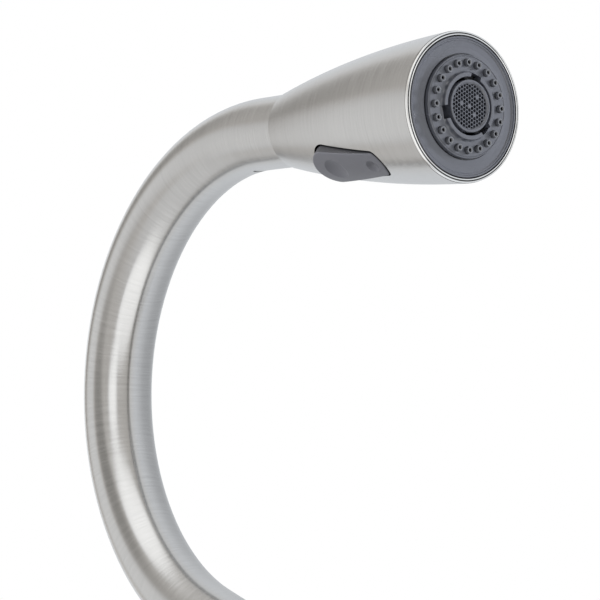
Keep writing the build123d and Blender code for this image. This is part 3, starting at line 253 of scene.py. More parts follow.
def make_world():
    """Plain white for the camera, the studio for what metal mirrors, and an even light on matt surfaces."""
    world = bpy.data.worlds.new("studio")
    bpy.context.scene.world = world
    world.use_nodes = True
    world.node_tree.nodes.clear()
    g = Graph(world.node_tree)
    direction = g.node("ShaderNodeTexCoord").outputs["Generated"]
    split = g.node("ShaderNodeSeparateXYZ")
    g.feed(split.inputs[0], direction)
    x, _, z = split.outputs
    room = ROOM_LEVEL
    for axis, reach, soft, added in PANELS:
        cosine = g.vector("DOT_PRODUCT", direction, tuple(Vector(axis).normalized()))
        inside = g.smooth(cosine, math.cos(math.radians(reach + soft)), math.cos(math.radians(reach)))
        room = g.math("MULTIPLY_ADD", inside, added, room)
    backdrop = g.spread(g.smooth(x, 0.35, 1.1), *BACKDROP)
    beside = g.smooth(x, -0.02, 0.12)
    level = g.math("ADD", g.math("MULTIPLY", beside, backdrop),
                   g.math("MULTIPLY", g.math("SUBTRACT", 1.0, beside), room))
    edge = g.math("MULTIPLY", g.smooth(g.math("ABSOLUTE", x), 0.11, 0.01), g.smooth(z, 0.7, 0.3))
    level = g.math("MULTIPLY", level, g.spread(edge, 1.0, EDGE_LEVEL))

    ray = g.node("ShaderNodeLightPath")
    matt = ray.outputs["Is Diffuse Ray"]
    studio = g.node("ShaderNodeBackground")
    dim = g.math("MULTIPLY", g.smooth(level, 1.0, 0.7), g.math("SUBTRACT", 1.0, matt))
    hue = g.mix(dim, (*WHITE, 1.0), (*WARM_TINT, 1.0))
    g.feed(studio.inputs["Color"], g.mix(g.smooth(x, 0.1, 0.4), hue, (*COOL_TINT, 1.0)))
    strength = g.math("ADD", g.math("MULTIPLY", g.math("SUBTRACT", 1.0, matt), level),
                      g.math("MULTIPLY", matt, ROOM_FILL))
    g.feed(studio.inputs["Strength"], strength)

    white = g.node("ShaderNodeBackground")
    white.inputs["Color"].default_value = (*WHITE, 1.0)
    white.inputs["Strength"].default_value = 1.0
    shown = g.math("MAXIMUM", ray.outputs["Is Camera Ray"], ray.outputs["Is Transmission Ray"])
    either = g.node("ShaderNodeMixShader")
    g.feed(either.inputs[0], shown)
    g.feed(either.inputs[1], studio.outputs[0])
    g.feed(either.inputs[2], white.outputs[0])
    out = g.node("ShaderNodeOutputWorld")
    g.feed(out.inputs["Surface"], either.outputs[0])


def make_lamp(name, direction, distance, size, watts):
    """A white square soft box that looks at the seam from the given direction, and that no metal mirrors."""
    data = bpy.data.lights.new(name, "AREA")
    data.shape = "SQUARE"
    data.size = size
    data.energy = watts
    data.color = WHITE
    lamp = bpy.data.objects.new(name, data)
    bpy.context.scene.collection.objects.link(lamp)
    lamp.location = SEAM + Vector(direction).normalized() * distance
    lamp.rotation_mode = "QUATERNION"
    lamp.rotation_quaternion = (-Vector(direction)).to_track_quat("-Z", "Y")
    lamp.visible_camera = False
    lamp.visible_glossy = False


def make_floor():
    """A pale floor well below the part and the camera; metal mirrors the studio, not the floor."""
    mesh = bpy.data.meshes.new("floor")
    half, z = FLOOR_HALF, CAD_BOX[0].z - FLOOR_DROP
    corners = [(-half, -half, z), (half, -half, z), (half, half, z), (-half, half, z)]
    mesh.from_pydata(corners, [], [(0, 1, 2, 3)])
    floor = bpy.data.objects.new("floor", mesh)
    bpy.context.scene.collection.objects.link(floor)
    material, shader, g = new_shader("floor_paper", FLOOR_GREY, 0.9)
    mottle = g.spread(g.noise(object_place(g), 3.0), 0.98, 1.0)
    g.feed(shader.inputs["Base Color"], scaled(g, FLOOR_GREY, mottle))
    glow = g.node("ShaderNodeEmission")
    ray = g.node("ShaderNodeLightPath")
    either = g.node("ShaderNodeMixShader")
    g.feed(either.inputs[0], g.math("MULTIPLY", ray.outputs["Is Camera Ray"], FLOOR_GLOW))
    g.feed(either.inputs[1], shader.outputs[0])
    g.feed(either.inputs[2], glow.outputs[0])
    g.feed(material.node_tree.nodes["Material Output"].inputs["Surface"], either.outputs[0])
    mesh.materials.append(material)
    floor.visible_glossy = False


# ---------------------------------------------------------------- materials
BUMP_DEPTH = 0.2 * MM     # of grain, brush lines and braid, before each one's strength
AO_SAMPLES = 8


def new_shader(name, colour, roughness, metallic=0.0):
    """A fresh Principled material, with the graph to dress it."""
    material = bpy.data.materials.new(name)
    material.use_nodes = True
    shader = material.node_tree.nodes["Principled BSDF"]
    shader.inputs["Base Color"].default_value = (*colour, 1.0)
    shader.inputs["Roughness"].default_value = roughness
    shader.inputs["Metallic"].default_value = metallic
    return material, shader, Graph(material.node_tree)


def painted_crevice_shade(g, reach, darkest, open_at=0.85):
    """Colour level by how open a point lies, a painted shade: 1 on open faces, down to darkest in gaps
    narrower than reach.
    """
    open_sky = g.node("ShaderNodeAmbientOcclusion", samples=AO_SAMPLES)
    open_sky.inputs["Distance"].default_value = reach
    return g.spread(g.smooth(open_sky.outputs["AO"], 0.25, open_at), darkest, 1.0)


def painted_wall_shade(g, place, level):
    """Colour level of the rocker: 1 on its top face, and darker on its side walls about the head, a painted
    shade for the slot's gap.
    """
    offset = g.vector("SUBTRACT", place, tuple(SEAM))
    along = scaled(g, HEAD_AXIS, g.vector("DOT_PRODUCT", offset, tuple(HEAD_AXIS)))
    outward = g.vector("NORMALIZE", g.vector("SUBTRACT", offset, along))
    facing = g.vector("DOT_PRODUCT", g.node("ShaderNodeTexCoord").outputs["Normal"], outward)
    return g.spread(g.smooth(facing, 0.35, 0.7), level, 1.0)


def object_place(g):
    return g.node("ShaderNodeTexCoord").outputs["Object"]


def scaled(g, colour, level):
    """A colour or vector times a level that the graph works out."""
    made = g.node("ShaderNodeVectorMath", operation="SCALE")
    made.inputs[0].default_value = colour
    g.feed(made.inputs["Scale"], level)
    return made.outputs["Vector"]


def along_axis(g, place, axis):
    """Way along a straight axis, and the direction in which a reflection smears."""
    return g.vector("DOT_PRODUCT", place, axis), g.combine(*axis)


def along_gooseneck(g, place):
    """Way along the spout's centreline (riser, arc, tail) and its direction at each point."""
    offset = g.vector("SUBTRACT", place, ARC_CENTRE)
    split = g.node("ShaderNodeSeparateXYZ")
    g.feed(split.inputs[0], offset)
    _, out, up = split.outputs
    angle = g.math("ARCTAN2", up, out)
    on_riser = g.math("LESS_THAN", angle, 0.0)
    clipped = g.math("MAXIMUM", angle, 0.0)
    turned = g.math("MINIMUM", clipped, ARC_TURN)
    way = g.math("ADD", g.math("MULTIPLY", turned, ARC_R), g.math("MULTIPLY", on_riser, up))
    tail = g.math("GREATER_THAN", angle, ARC_TURN)
    past = g.vector("DOT_PRODUCT", g.vector("SUBTRACT", place, tuple(ARC_END)), tuple(HEAD_AXIS))
    way = g.math("ADD", way, g.math("MULTIPLY", tail, past))
    direction = g.combine(0.0, g.math("SINE", g.math("MULTIPLY", turned, -1.0)), g.math("COSINE", turned))
    return way, direction


def along_body(g, place):
    """The body's own turned axis, and the valve boss's sideways one beyond the wall."""
    split = g.node("ShaderNodeSeparateXYZ")
    g.feed(split.inputs[0], place)
    x, _, z = split.outputs
    from_valve = g.vector("SUBTRACT", place, tuple(VALVE_ORIGIN))
    across = g.vector("MULTIPLY", from_valve, (0.0, 1.0, 1.0))
    near = g.math("LESS_THAN", g.vector("LENGTH", across), BOSS_NEAR)
    boss = g.math("MULTIPLY", near, g.math("GREATER_THAN", x, BOSS_START))
    way = g.math("ADD", g.math("MULTIPLY", boss, x), g.math("MULTIPLY", g.math("SUBTRACT", 1.0, boss), z))
    return way, g.mix_vectors(boss, tuple(Z_AXIS), tuple(X_AXIS))


def brushed(name, along, colour=(0.5, 0.498, 0.492), roughness=0.22, anisotropy=0.85):
    """Brushed nickel: fine brush lines run round the piece, so reflections smear along it."""
    material, shader, g = new_shader(name, colour, roughness, 1.0)
    place = object_place(g)
    way, direction = along(g, place)
    turn = g.node("ShaderNodeVectorTransform", vector_type="VECTOR",
                  convert_from="OBJECT", convert_to="WORLD")
    g.feed(turn.inputs[0], direction)
    g.feed(shader.inputs["Tangent"], turn.outputs[0])
    shader.inputs["Anisotropic"].default_value = anisotropy
    split = g.node("ShaderNodeSeparateXYZ")
    g.feed(split.inputs[0], place)
    side, out, up = split.outputs
    across = g.math("ADD", out, up)

    def brush(pitch, length):
        """Noise drawn out round the piece: pitch lines and length patches to the metre."""
        steps = ((way, pitch), (side, length), (across, length))
        at = g.combine(*(g.math("MULTIPLY", value, scale) for value, scale in steps))
        return g.noise(at, 1.0, 2.0, 0.6)

    fine, coarse = brush(3400.0, 110.0), brush(1100.0, 45.0)
    lines = g.math("MULTIPLY_ADD", coarse, 0.5, g.math("MULTIPLY", fine, 0.5))
    cloud = g.noise(place, 45.0, 3.0, 0.55)
    smear = g.noise(place, 14.0, 2.0, 0.5)
    level = g.math("ADD", g.spread(lines, 0.8, 1.2), g.spread(cloud, -0.03, 0.03))
    # painted shade: the base colour darkens in crevices narrower than 2 mm, such as the slot round the rocker
    level = g.math("MULTIPLY", level, painted_crevice_shade(g, 2.0 * MM, 0.1))
    g.feed(shader.inputs["Base Color"], scaled(g, colour, level))
    rough = g.math("ADD", g.spread(lines, roughness - 0.12, roughness + 0.12), g.spread(smear, -0.03, 0.03))
    g.feed(shader.inputs["Roughness"], rough)
    g.feed(shader.inputs["Normal"], g.bump(lines, 0.12, BUMP_DEPTH))
    return material


def turned_metal(name, colour, roughness, scale=900.0, wear=0.05):
    """Machined brass or steel: tool lines, a faint tarnish and small scuffs."""
    material, shader, g = new_shader(name, colour, roughness, 1.0)
    place = object_place(g)
    stretched = g.vector("MULTIPLY", place, (0.15, 0.15, 1.0))
    lines = g.noise(stretched, scale, 2.0, 0.5)
    cloud = g.noise(place, 120.0, 4.0, 0.6)
    level = g.math("ADD", g.spread(cloud, 1.0 - wear * 2, 1.0 + wear), g.spread(lines, -wear, wear))
    g.feed(shader.inputs["Base Color"], scaled(g, colour, level))
    g.feed(shader.inputs["Roughness"], g.spread(cloud, roughness - 0.06, roughness + 0.1))
    g.feed(shader.inputs["Normal"], g.bump(lines, 0.08, BUMP_DEPTH))
    return material


def polished(name, colour, roughness):
    """Mirror-bright metal with faint wipe marks."""
    material, shader, g = new_shader(name, colour, roughness, 1.0)
    place = object_place(g)
    wipes = g.noise(g.vector("MULTIPLY", place, (1.0, 1.0, 0.2)), 260.0, 3.0, 0.6)
    cloud = g.noise(place, 40.0, 2.0, 0.5)
    g.feed(shader.inputs["Base Color"], scaled(g, colour, g.spread(cloud, 0.97, 1.02)))
    g.feed(shader.inputs["Roughness"], g.spread(wipes, roughness - 0.02, roughness + 0.05))
    return material


def moulded(name, colour, roughness, grain=2200.0, depth=0.12, mottle=0.04, sheen=0.5, wall_shade_level=1.0,
            reach=0.8 * MM, shade=0.15, open_at=0.85):
    """Injection-moulded plastic, ceramic or rubber: fine eroded grain, a faint mottle and handling sheen.

    reach, shade and open_at set the painted shade in its crevices; a wall_shade_level below 1 sets the
    painted shade on side walls about the head.
    """
    material, shader, g = new_shader(name, colour, roughness)
    place = object_place(g)
    fine = g.noise(place, grain, 3.0, 0.65)
    cloud = g.noise(place, 70.0, 3.0, 0.5)
    rub = g.noise(place, 28.0, 2.0, 0.5)
    level = g.math("ADD", g.spread(cloud, 1.0 - mottle, 1.0 + mottle), g.spread(fine, -mottle, mottle))
    # painted shade: the base colour darkens in crevices narrower than reach
    level = g.math("MULTIPLY", level, painted_crevice_shade(g, reach, shade, open_at))
    # painted shade on the rocker's side walls, where the slot's gap lies in shadow
    if wall_shade_level < 1.0:
        level = g.math("MULTIPLY", level, painted_wall_shade(g, place, wall_shade_level))
    shader.inputs["Specular IOR Level"].default_value = sheen
    g.feed(shader.inputs["Base Color"], scaled(g, colour, level))
    g.feed(shader.inputs["Roughness"], g.spread(rub, roughness - 0.06, roughness + 0.06))
    g.feed(shader.inputs["Normal"], g.bump(fine, depth, BUMP_DEPTH))
    return material


def braid(name, colour, roughness):
    """Woven nylon over the hose: strands darker in the gaps, with a soft sheen."""
    material, shader, g = new_shader(name, colour, roughness)
    place = object_place(g)
    fibres = g.noise(g.vector("MULTIPLY", place, (1.0, 1.0, 0.4)), 3500.0, 2.0, 0.6)
    cloud = g.noise(place, 90.0, 2.0, 0.5)
    level = g.math("ADD", g.spread(fibres, 0.8, 1.2), g.spread(cloud, -0.06, 0.06))
    g.feed(shader.inputs["Base Color"], scaled(g, colour, level))
    g.feed(shader.inputs["Roughness"], g.spread(fibres, roughness - 0.08, roughness + 0.08))
    g.feed(shader.inputs["Normal"], g.bump(fibres, 0.2, BUMP_DEPTH))
    return material


# Every moulded material below has painted shade in its crevices.
MATERIALS = {
    "polished_metal": polished("polished_metal", (0.8, 0.8, 0.79), 0.08),
    "brass": turned_metal("brass", (0.62, 0.46, 0.22), 0.3),
    "steel": turned_metal("steel", (0.48, 0.48, 0.48), 0.32),
    "supply_tube": turned_metal("supply_tube", (0.6, 0.33, 0.21), 0.3, scale=500.0, wear=0.08),
    "black_rubber": moulded("black_rubber", (0.022, 0.022, 0.023), 0.65, depth=0.2),
    "white_plastic": moulded("white_plastic", (0.74, 0.74, 0.72), 0.38, mottle=0.015),
    "ceramic": moulded("ceramic", (0.84, 0.83, 0.79), 0.2, grain=5000.0, depth=0.05, mottle=0.02),
    "black_plastic": moulded("black_plastic", (0.026, 0.026, 0.028), 0.42),
    "face_plastic": moulded("face_plastic", (0.078, 0.083, 0.101), 0.27, depth=0.1, sheen=0.9),
    # deeper painted shade round the nozzles' feet and between them
    "nozzle_silicone": moulded("nozzle_silicone", (0.108, 0.114, 0.13), 0.28, depth=0.08, sheen=1.0,
                               reach=2.0 * MM, shade=0.1, open_at=1.0),
    # the rocker: painted shade in its crevices and on its side walls
    "toggle_plastic": moulded("toggle_plastic", (0.102, 0.104, 0.119), 0.42, depth=0.2, wall_shade_level=0.35,
                              reach=4.0 * MM, shade=0.15, open_at=1.0),
    "hose_braid": braid("hose_braid", (0.12, 0.12, 0.125), 0.5),
    "index_plastic": moulded("index_plastic", (0.45, 0.46, 0.48), 0.35),
}


def straight(axis):
    """Brush lines round one straight axis."""
    return lambda g, place: along_axis(g, place, tuple(axis))


BRUSHED = {
    "spout_tube": brushed("nickel_spout", along_gooseneck),
    "head_shell": brushed("nickel_head", straight(HEAD_AXIS)),
    "body_housing": brushed("nickel_body", along_body),
    "neck_collar": brushed("nickel_collar", straight(Z_AXIS)),
    "base_ring": brushed("nickel_base", straight(Z_AXIS)),
    "handle_hub": brushed("nickel_hub", straight(X_AXIS)),
    "handle_lever": brushed("nickel_lever", straight(Z_AXIS)),
}


def dress_nodes():
    """Gives every CAD node the material of its slot; each brushed node has its own, with its own direction.

    The distributor is black rather than its slot's colour: painted shade for the dark hollow that shows
    through the honeycomb.
    """
    for part in frame["record"]["subparts"]:
        # painted shade: the distributor is black so the honeycomb's cells read as a dark hollow
        slot = "black_plastic" if part["node"] == "distributor" else part["material_slot"]
        material = BRUSHED.get(part["node"]) or MATERIALS[slot]
        mesh = frame["nodes"][part["node"]].data
        mesh.materials.clear()
        mesh.materials.append(material)


# ---------------------------------------------------------------- pieces made in the scene

# Sizes in millimetres and degrees.
RIM = 92.1                # rim plane of the spray head, from the seam
PLATE_R = 18.5
COLLAR_R = 12.1
MOUTH_R = 10.4            # opening of the plate round the aerator
NOZZLES = 20
NOZZLE_CIRCLE_R = 15.5
NOZZLE_PHASE = 2.0
NOZZLE_HOLE_R = 1.43
KEYS = 3
KEY_PHASE = 45.8
KEY_WIDTH = 4.7
BORE_R = 8.06             # of the aerator
CELL_PITCH = 1.42
CELL_BAR = 0.25
BLIND_CELLS = ((0, 0), (-3, 1), (2, 1), (3, -4))      # row and column of cells that stay closed
HOSE_R = 5.25
HOSE_FOOT = -64.0
HOSE_END = 13.0           # from the seam back to the end inside the hose nut
WEAVE = 0.2
STRANDS = 8
STRAND_PITCH = 9.0
SHANK_R = 16.0
SHANK_BORE_R = 13.5
SHANK_ENDS = (-60.0, 22.0)
THREAD_PITCH = 1.8
THREAD_DEPTH = 0.9
SPRING_ENDS = (13.05, 22.0)       # back of the poppet and roof of its case, from the seam
SPRING_R = 2.5
SPRING_WIRE_R = 0.3
SPRING_TURNS = 4
CUT_CREASE = 35.0         # angle from which edges of a carved piece are sharp


def head_point(radius, along, degrees):
    """The point at a radius, a way along and an angle about the spray head's axis."""
    angle = math.radians(degrees)
    return from_seam(along, radius * math.cos(angle), radius * math.sin(angle))


def new_piece(name, points, faces, material, body, crease=40.0):
    """A smooth mesh object with sharp creases, which rides on a body if one is given."""
    mesh = bpy.data.meshes.new(name)
    mesh.from_pydata(points, [], faces)
    tidy = bmesh.new()
    tidy.from_mesh(mesh)
    bmesh.ops.recalc_face_normals(tidy, faces=tidy.faces)
    tidy.to_mesh(mesh)
    tidy.free()
    mesh.materials.append(material)
    mesh.shade_smooth()
    mesh.set_sharp_from_angle(angle=math.radians(crease))
    piece = bpy.data.objects.new(name, mesh)
    bpy.context.scene.collection.objects.link(piece)
    if body:
        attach(piece, body)
    return piece


def softened(corners, steps=4):
    """A closed outline of (radius, along, fillet) corners, with each corner rounded by its fillet."""
    outline = []
    count = len(corners)
    for index, (radius, along, fillet) in enumerate(corners):
        here = Vector((radius, along))
        if not fillet:
            outline.append(here)
            continue
        back = (Vector(corners[index - 1][:2]) - here).normalized()
        ahead = (Vector(corners[(index + 1) % count][:2]) - here).normalized()
        half = back.angle(ahead) / 2
        reach = fillet / math.tan(half)
        centre = here + (back + ahead).normalized() * fillet / math.sin(half)
        first, last = here + back * reach - centre, here + ahead * reach - centre
        for step in range(steps + 1):
            outline.append(centre + first.slerp(last, step / steps).normalized() * fillet)
    return outline


def spun(outline, place, start=0, segments=160):
    """Points and faces of a closed outline turned all the way round an axis."""
    points = [place(radius, along, 360.0 * turn / segments)
              for turn in range(segments) for radius, along in outline]
    faces = []
    count = len(outline)
    for turn in range(segments):
        here, ahead = start + turn * count, start + (turn + 1) % segments * count
        for index in range(count):
            after = (index + 1) % count
            faces.append((here + index, ahead + index, ahead + after, here + after))
    return points, faces


def carve(piece, points, faces):
    """Cuts closed solids out of a piece and keeps the result in its mesh."""
    cutter = new_piece("cutter", points, faces, piece.data.materials[0], None)
    cut = piece.modifiers.new("cut", "BOOLEAN")
    cut.operation = "DIFFERENCE"
    cut.solver = "EXACT"
    cut.object = cutter
    bpy.context.view_layer.update()
    made = bpy.data.meshes.new_from_object(piece.evaluated_get(bpy.context.evaluated_depsgraph_get()))
    piece.modifiers.clear()
    piece.data = made
    made.shade_smooth()
    made.set_sharp_from_angle(angle=math.radians(CUT_CREASE))
    bpy.data.objects.remove(cutter)


def prism(corners, low, high, start):
    """A closed prism between two heights along the head, on corners of (radius, degrees)."""
    count = len(corners)
    points = [head_point(radius, along, degrees) for along in (low, high) for radius, degrees in corners]
    faces = [tuple(range(start, start + count)), tuple(range(start + count, start + 2 * count))]
    for index in range(count):
        after = (index + 1) % count
        faces.append((start + index, start + after, start + count + after, start + count + index))
    return points, faces


def round_corners(radius, centre_r, centre_deg, count, turn=0.0):
    """Corners of a regular outline round a centre, as (radius, degrees) about the head's axis."""
    x = centre_r * math.cos(math.radians(centre_deg))
    y = centre_r * math.sin(math.radians(centre_deg))
    corners = []
    for index in range(count):
        angle = math.radians(turn + 360.0 * index / count)
        a, b = x + radius * math.cos(angle), y + radius * math.sin(angle)
        corners.append((math.hypot(a, b), math.degrees(math.atan2(b, a))))
    return corners


def gather(parts):
    """Joins several (points, faces) makers into one mesh; each maker is told where its points start."""
    points, faces = [], []
    for make in parts:
        more_points, more_faces = make(len(points))
        points += more_points
        faces += more_faces
    return points, faces


def rim_ring():
    """Polished rim: two beads with a fine groove between them, and a black ring in the groove, a painted
    shadow for the joint between rim and shell.
    """
    shell_end, low, top = RIM - 0.6, RIM - 3.2, RIM + 0.5
    corners = (
        (25.42, low, 0), (25.42, top, 0.22), (25.92, top, 0.22), (25.92, top - 0.7, 0.04),
        (26.32, top - 0.7, 0.04), (26.32, top - 0.05, 0.22), (26.87, top - 0.25, 0.25),
        (26.87, shell_end, 0), (25.65, shell_end, 0), (25.65, low, 0),
    )
    points, faces = spun(softened(corners, 6), head_point, segments=256)
    ring = new_piece("rim_beads", points, faces, MATERIALS["polished_metal"], "head")
    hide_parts("rim_ring")
    # black ring over the groove's floor: painted shadow of the joint
    line = [(25.93, top - 0.69), (26.31, top - 0.69), (26.31, top - 0.3), (25.93, top - 0.3)]
    points, faces = spun(line, head_point, segments=256)
    shadow_line = new_piece("rim_painted_shadow_line", points, faces, MATERIALS["black_rubber"], "head")


def face_ring():
    """Outer ring of the spray face: a raised lip, a fine step, and a slope up to a groove at the plate."""
    corners = [(18.55, RIM - 7.0, 0), (25.38, RIM - 7.0, 0), (25.38, RIM - 1.6, 0), (25.0, RIM - 1.5, 0),
               (25.0, RIM + 0.4, 0.25), (24.35, RIM + 0.45, 0.2), (24.2, RIM + 0.1, 0.06),
               (23.75, RIM + 0.12, 0.15), (23.3, RIM - 0.25, 0.4), (21.2, RIM - 0.2, 2.0),
               (19.3, RIM + 0.4, 0.5), (18.85, RIM + 0.45, 0.12), (18.85, RIM + 0.05, 0),
               (18.55, RIM + 0.05, 0)]
    points, faces = spun(softened(corners, 5), head_point, segments=256)
    ring = new_piece("spray_face_ring", points, faces, MATERIALS["face_plastic"], "head")
    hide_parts("face_ring")


def nozzle_plate():
    """Raised plate with a beaded edge, a collar round the aerator, key ways and a hole for each nozzle."""
    under, top, collar = RIM - 0.5, RIM + 1.9, RIM + 3.5
    corners = [(MOUTH_R, under, 0), (PLATE_R, under, 0), (PLATE_R, RIM + 0.3, 0.1), (18.35, top, 0.25),
               (18.0, top, 0.08), (17.9, top - 0.16, 0.04), (17.75, top - 0.16, 0.04), (17.65, top, 0.08),
               (12.5, top, 0.5), (COLLAR_R, top + 0.6, 0.3), (11.85, collar, 0.3), (MOUTH_R, collar, 0.2)]
    points, faces = spun(softened(corners, 4), head_point, segments=240)
    plate = new_piece("spray_plate", points, faces, MATERIALS["face_plastic"], "head")
    cuts = []
    near, far, half = MOUTH_R - 1.5, COLLAR_R, KEY_WIDTH / 2
    for key in range(KEYS):
        degrees = KEY_PHASE + 360.0 * key / KEYS
        corners = [(math.hypot(out, side), degrees + math.degrees(math.atan2(side, out)))
                   for out, side in ((near, -half), (far, -half), (far, half), (near, half))]
        cuts.append(lambda start, corners=corners: prism(corners, under - 0.1, collar + 1.0, start))
    for nozzle in range(NOZZLES):
        degrees = NOZZLE_PHASE + 360.0 * nozzle / NOZZLES
        corners = round_corners(NOZZLE_HOLE_R, NOZZLE_CIRCLE_R, degrees, 24)
        cuts.append(lambda start, corners=corners: prism(corners, under - 0.1, collar + 1.0, start))
    carve(plate, *gather(cuts))
    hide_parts("nozzle_plate")


def nozzle_mat():
    """Silicone mat: nubs with rounded rims and funnels into their bores, between two flat bands."""
    tip, under, back = RIM + 3.5, RIM - 0.5, RIM - 2.1
    nub = softened([(0.55, back, 0), (1.28, back, 0), (1.28, tip, 0.22),
                    (0.82, tip, 0.1), (0.55, tip - 0.35, 0.1)], 4)
    parts = []
    for nozzle in range(NOZZLES):
        degrees = NOZZLE_PHASE + 360.0 * nozzle / NOZZLES

        def place(radius, along, turn, degrees=degrees):
            angle = math.radians(turn)
            x = NOZZLE_CIRCLE_R + radius * math.cos(angle)
            y = radius * math.sin(angle)
            return head_point(math.hypot(x, y), along, degrees + math.degrees(math.atan2(y, x)))

        parts.append(lambda start, place=place: spun(nub, place, start, 40))
    low = back + 0.05
    for near, far in ((17.0, 18.2), (12.9, 14.0)):
        band = [(near, low), (far, low), (far, under), (near, under)]
        parts.append(lambda start, band=band: spun(band, head_point, start))
    mat = new_piece("spray_nozzles", *gather(parts), MATERIALS["nozzle_silicone"], "head")
    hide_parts("nozzle_mat")


def aerator():
    """Aerator's insert: a rounded rim and a honeycomb that fills the bore, with four blind cells."""
    top, low = RIM + 3.2, RIM + 2.0
    shell = softened([(BORE_R, RIM - 8.15, 0), (9.3, RIM - 8.15, 0), (9.3, RIM + 3.85, 0.3),
                      (8.65, RIM + 3.85, 0.2), (BORE_R, top + 0.1, 0.1)], 5)
    points, faces = spun(shell, head_point, segments=200)
    housing = new_piece("aerator_insert", points, faces, MATERIALS["face_plastic"], "head")
    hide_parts("aerator_housing")

    near, far = 0.02, BORE_R - 0.02
    disc = [(near, low), (far, low), (far, top), (near, top)]
    points, faces = spun(disc, head_point, segments=120)
    grid = new_piece("aerator_honeycomb", points, faces, MATERIALS["face_plastic"], "head")
    cells = []
    cell_r = (CELL_PITCH - CELL_BAR) / math.sqrt(3)
    rows = int(BORE_R / CELL_PITCH * 1.3) + 1
    for row in range(-rows, rows + 1):
        for column in range(-2 * rows, 2 * rows + 1):
            x, y = (column + row / 2) * CELL_PITCH, row * CELL_PITCH * math.sqrt(0.75)
            away = math.hypot(x, y)
            if away > BORE_R + 0.1 or (row, column) in BLIND_CELLS:
                continue
            corners = round_corners(cell_r, away, math.degrees(math.atan2(y, x)), 6, 30.0)
            corners = [(min(radius, BORE_R - 0.12), degrees) for radius, degrees in corners]
            cells.append(lambda start, corners=corners: prism(corners, low - 0.1, top + 0.1, start))
    carve(grid, *gather(cells))
    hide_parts("aerator_grid")


def hose():
    """Braided hose up the riser and round the gooseneck; on its last stretch behind the head the weave is
    gathered for the pull-out.
    """
    around = 64
    pulled = JOINTS["pull_out"]["range_m"][1] / MM
    arc_length = ARC_TURN * ARC_R / MM
    rise = ARC_CENTRE.z / MM - HOSE_FOOT
    total = rise + arc_length + TUBE_END / MM - HOSE_END
    gather_length = 6.0       # the stretch at rest that draws out to the whole pull
    slack_start = total - 6.5

    def frame_at(way):
        """Centre of the hose a way along it, and the direction out of the gooseneck's bend."""
        if way < rise:
            return Vector((0, 0, (HOSE_FOOT + way) * MM)), Vector((0, 1, 0))
        turned = (way - rise) / (ARC_R / MM)
        if turned < ARC_TURN:
            out = Vector((0, math.cos(turned), math.sin(turned)))
            return ARC_CENTRE + out * ARC_R, out
        return ARC_END + HEAD_AXIS * (way - rise - arc_length) * MM, -INWARD

    def tube_along(name, ways):
        points, faces = [], []
        for way in ways:
            centre, out = frame_at(way)
            stretched = way + pulled * min(1.0, max(0.0, (way - slack_start) / gather_length))
            for step in range(around):
                angle = 2 * math.pi * step / around
                twist = 2 * math.pi * stretched / STRAND_PITCH
                weave = math.sin(STRANDS * angle + twist) * math.sin(STRANDS * angle - twist)
                radius = (HOSE_R - WEAVE + WEAVE * weave) * MM
                points.append(centre + (out * math.cos(angle) + X_AXIS * math.sin(angle)) * radius)
        for ring in range(len(ways) - 1):
            here, ahead = ring * around, (ring + 1) * around
            for step in range(around):
                after = (step + 1) % around
                faces.append((here + step, here + after, ahead + after, ahead + step))
        last = (len(ways) - 1) * around
        faces += [tuple(range(around)), tuple(range(last, last + around))]
        return new_piece(name, points, faces, MATERIALS["hose_braid"], None, 180.0)

    split = slack_start - 2.0
    inner = tube_along("braided_hose", [split * index / 420 for index in range(421)])
    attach(inner, "spout")
    slack = [slack_start + gather_length * index / 360 for index in range(1, 361)]
    outer = tube_along("pulled_hose", [split, slack_start] + slack + [total])
    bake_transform(outer)
    for piece in (inner, outer):
        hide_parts("spray_hose")


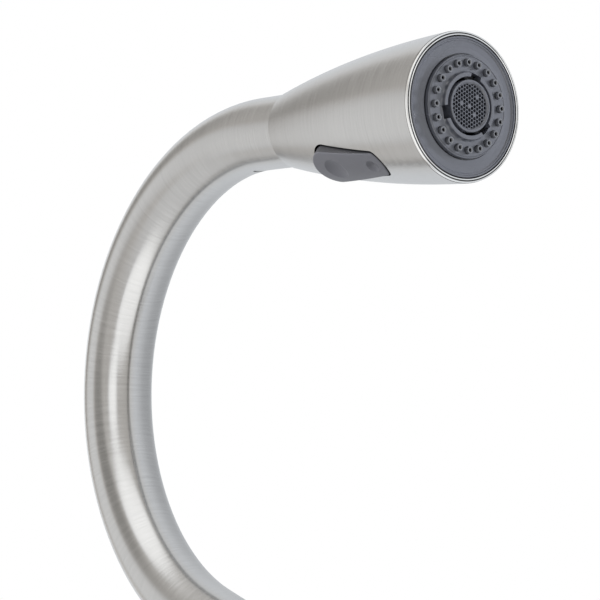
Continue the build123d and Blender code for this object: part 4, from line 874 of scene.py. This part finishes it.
def valve_spring():
    """Return spring of the check valve, coiled from the back of the poppet to the roof of its case."""
    poppet_back, roof = SPRING_ENDS
    around, steps = 12, 160
    rise = roof - poppet_back - 2 * SPRING_WIRE_R
    slope = math.atan2(rise / SPRING_TURNS, 2 * math.pi * SPRING_R)
    points, faces = [], []
    for step in range(steps + 1):
        share = step / steps
        centre = from_seam(poppet_back + SPRING_WIRE_R + rise * share, 0.0, 0.0)
        angle = 2 * math.pi * SPRING_TURNS * share
        radial = in_head_frame(0.0, math.cos(angle), math.sin(angle))
        ahead = in_head_frame(0.0, -math.sin(angle), math.cos(angle))
        lean = HEAD_AXIS * math.cos(slope) - ahead * math.sin(slope)
        for corner in range(around):
            turn = 2 * math.pi * corner / around
            wire = radial * math.cos(turn) + lean * math.sin(turn)
            points.append(centre + (radial * SPRING_R + wire * SPRING_WIRE_R) * MM)
    for step in range(steps):
        here, ahead = step * around, (step + 1) * around
        for corner in range(around):
            after = (corner + 1) % around
            faces.append((here + corner, here + after, ahead + after, ahead + corner))
    faces += [tuple(range(around)), tuple(range(steps * around, (steps + 1) * around))]
    spring = new_piece("valve_spring", points, faces, MATERIALS["steel"], "head")
    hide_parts("check_valve_spring")
    tuple(from_seam(roof, 0.0, 0.0))
    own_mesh(spring)


def shank_thread():
    """The shank with its thread; the crest keeps the plain shank's radius and dies out at both ends."""
    low, high = SHANK_ENDS
    around, steps = 72, 8
    rings = int((high - low) / THREAD_PITCH * steps)

    def ring_at(height, radius, depth=0.0):
        ease = max(0.0, min(1.0, (height - low) / THREAD_PITCH, (high - height) / THREAD_PITCH))
        made = []
        for step in range(around):
            turn = step / around
            wave = abs(((height - low) / THREAD_PITCH - turn) % 1.0 - 0.5) * 2
            reach = radius - depth * min(1.0, wave * 1.25) * ease
            angle = 2 * math.pi * turn
            made.append(Vector((reach * math.cos(angle), reach * math.sin(angle), height)) * MM)
        return made

    outline = [ring_at(low + (high - low) * index / rings, SHANK_R, THREAD_DEPTH)
               for index in range(rings + 1)]
    outline += [ring_at(high, SHANK_BORE_R), ring_at(low, SHANK_BORE_R)]
    points = [point for ring in outline for point in ring]
    faces = []
    for ring in range(len(outline)):
        here, ahead = ring * around, (ring + 1) % len(outline) * around
        for step in range(around):
            after = (step + 1) % around
            faces.append((here + step, here + after, ahead + after, ahead + step))
    shank = new_piece("shank_thread", points, faces, MATERIALS["brass"], "base", 30.0)
    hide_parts("threaded_shank")


bpy.context.scene.view_settings.view_transform = "Standard"
make_world()
make_camera()
make_floor()
for lamp in LAMPS:
    make_lamp(*lamp)
dress_nodes()
rim_ring()
face_ring()
nozzle_plate()
nozzle_mat()
aerator()
hose()
valve_spring()
shank_thread()
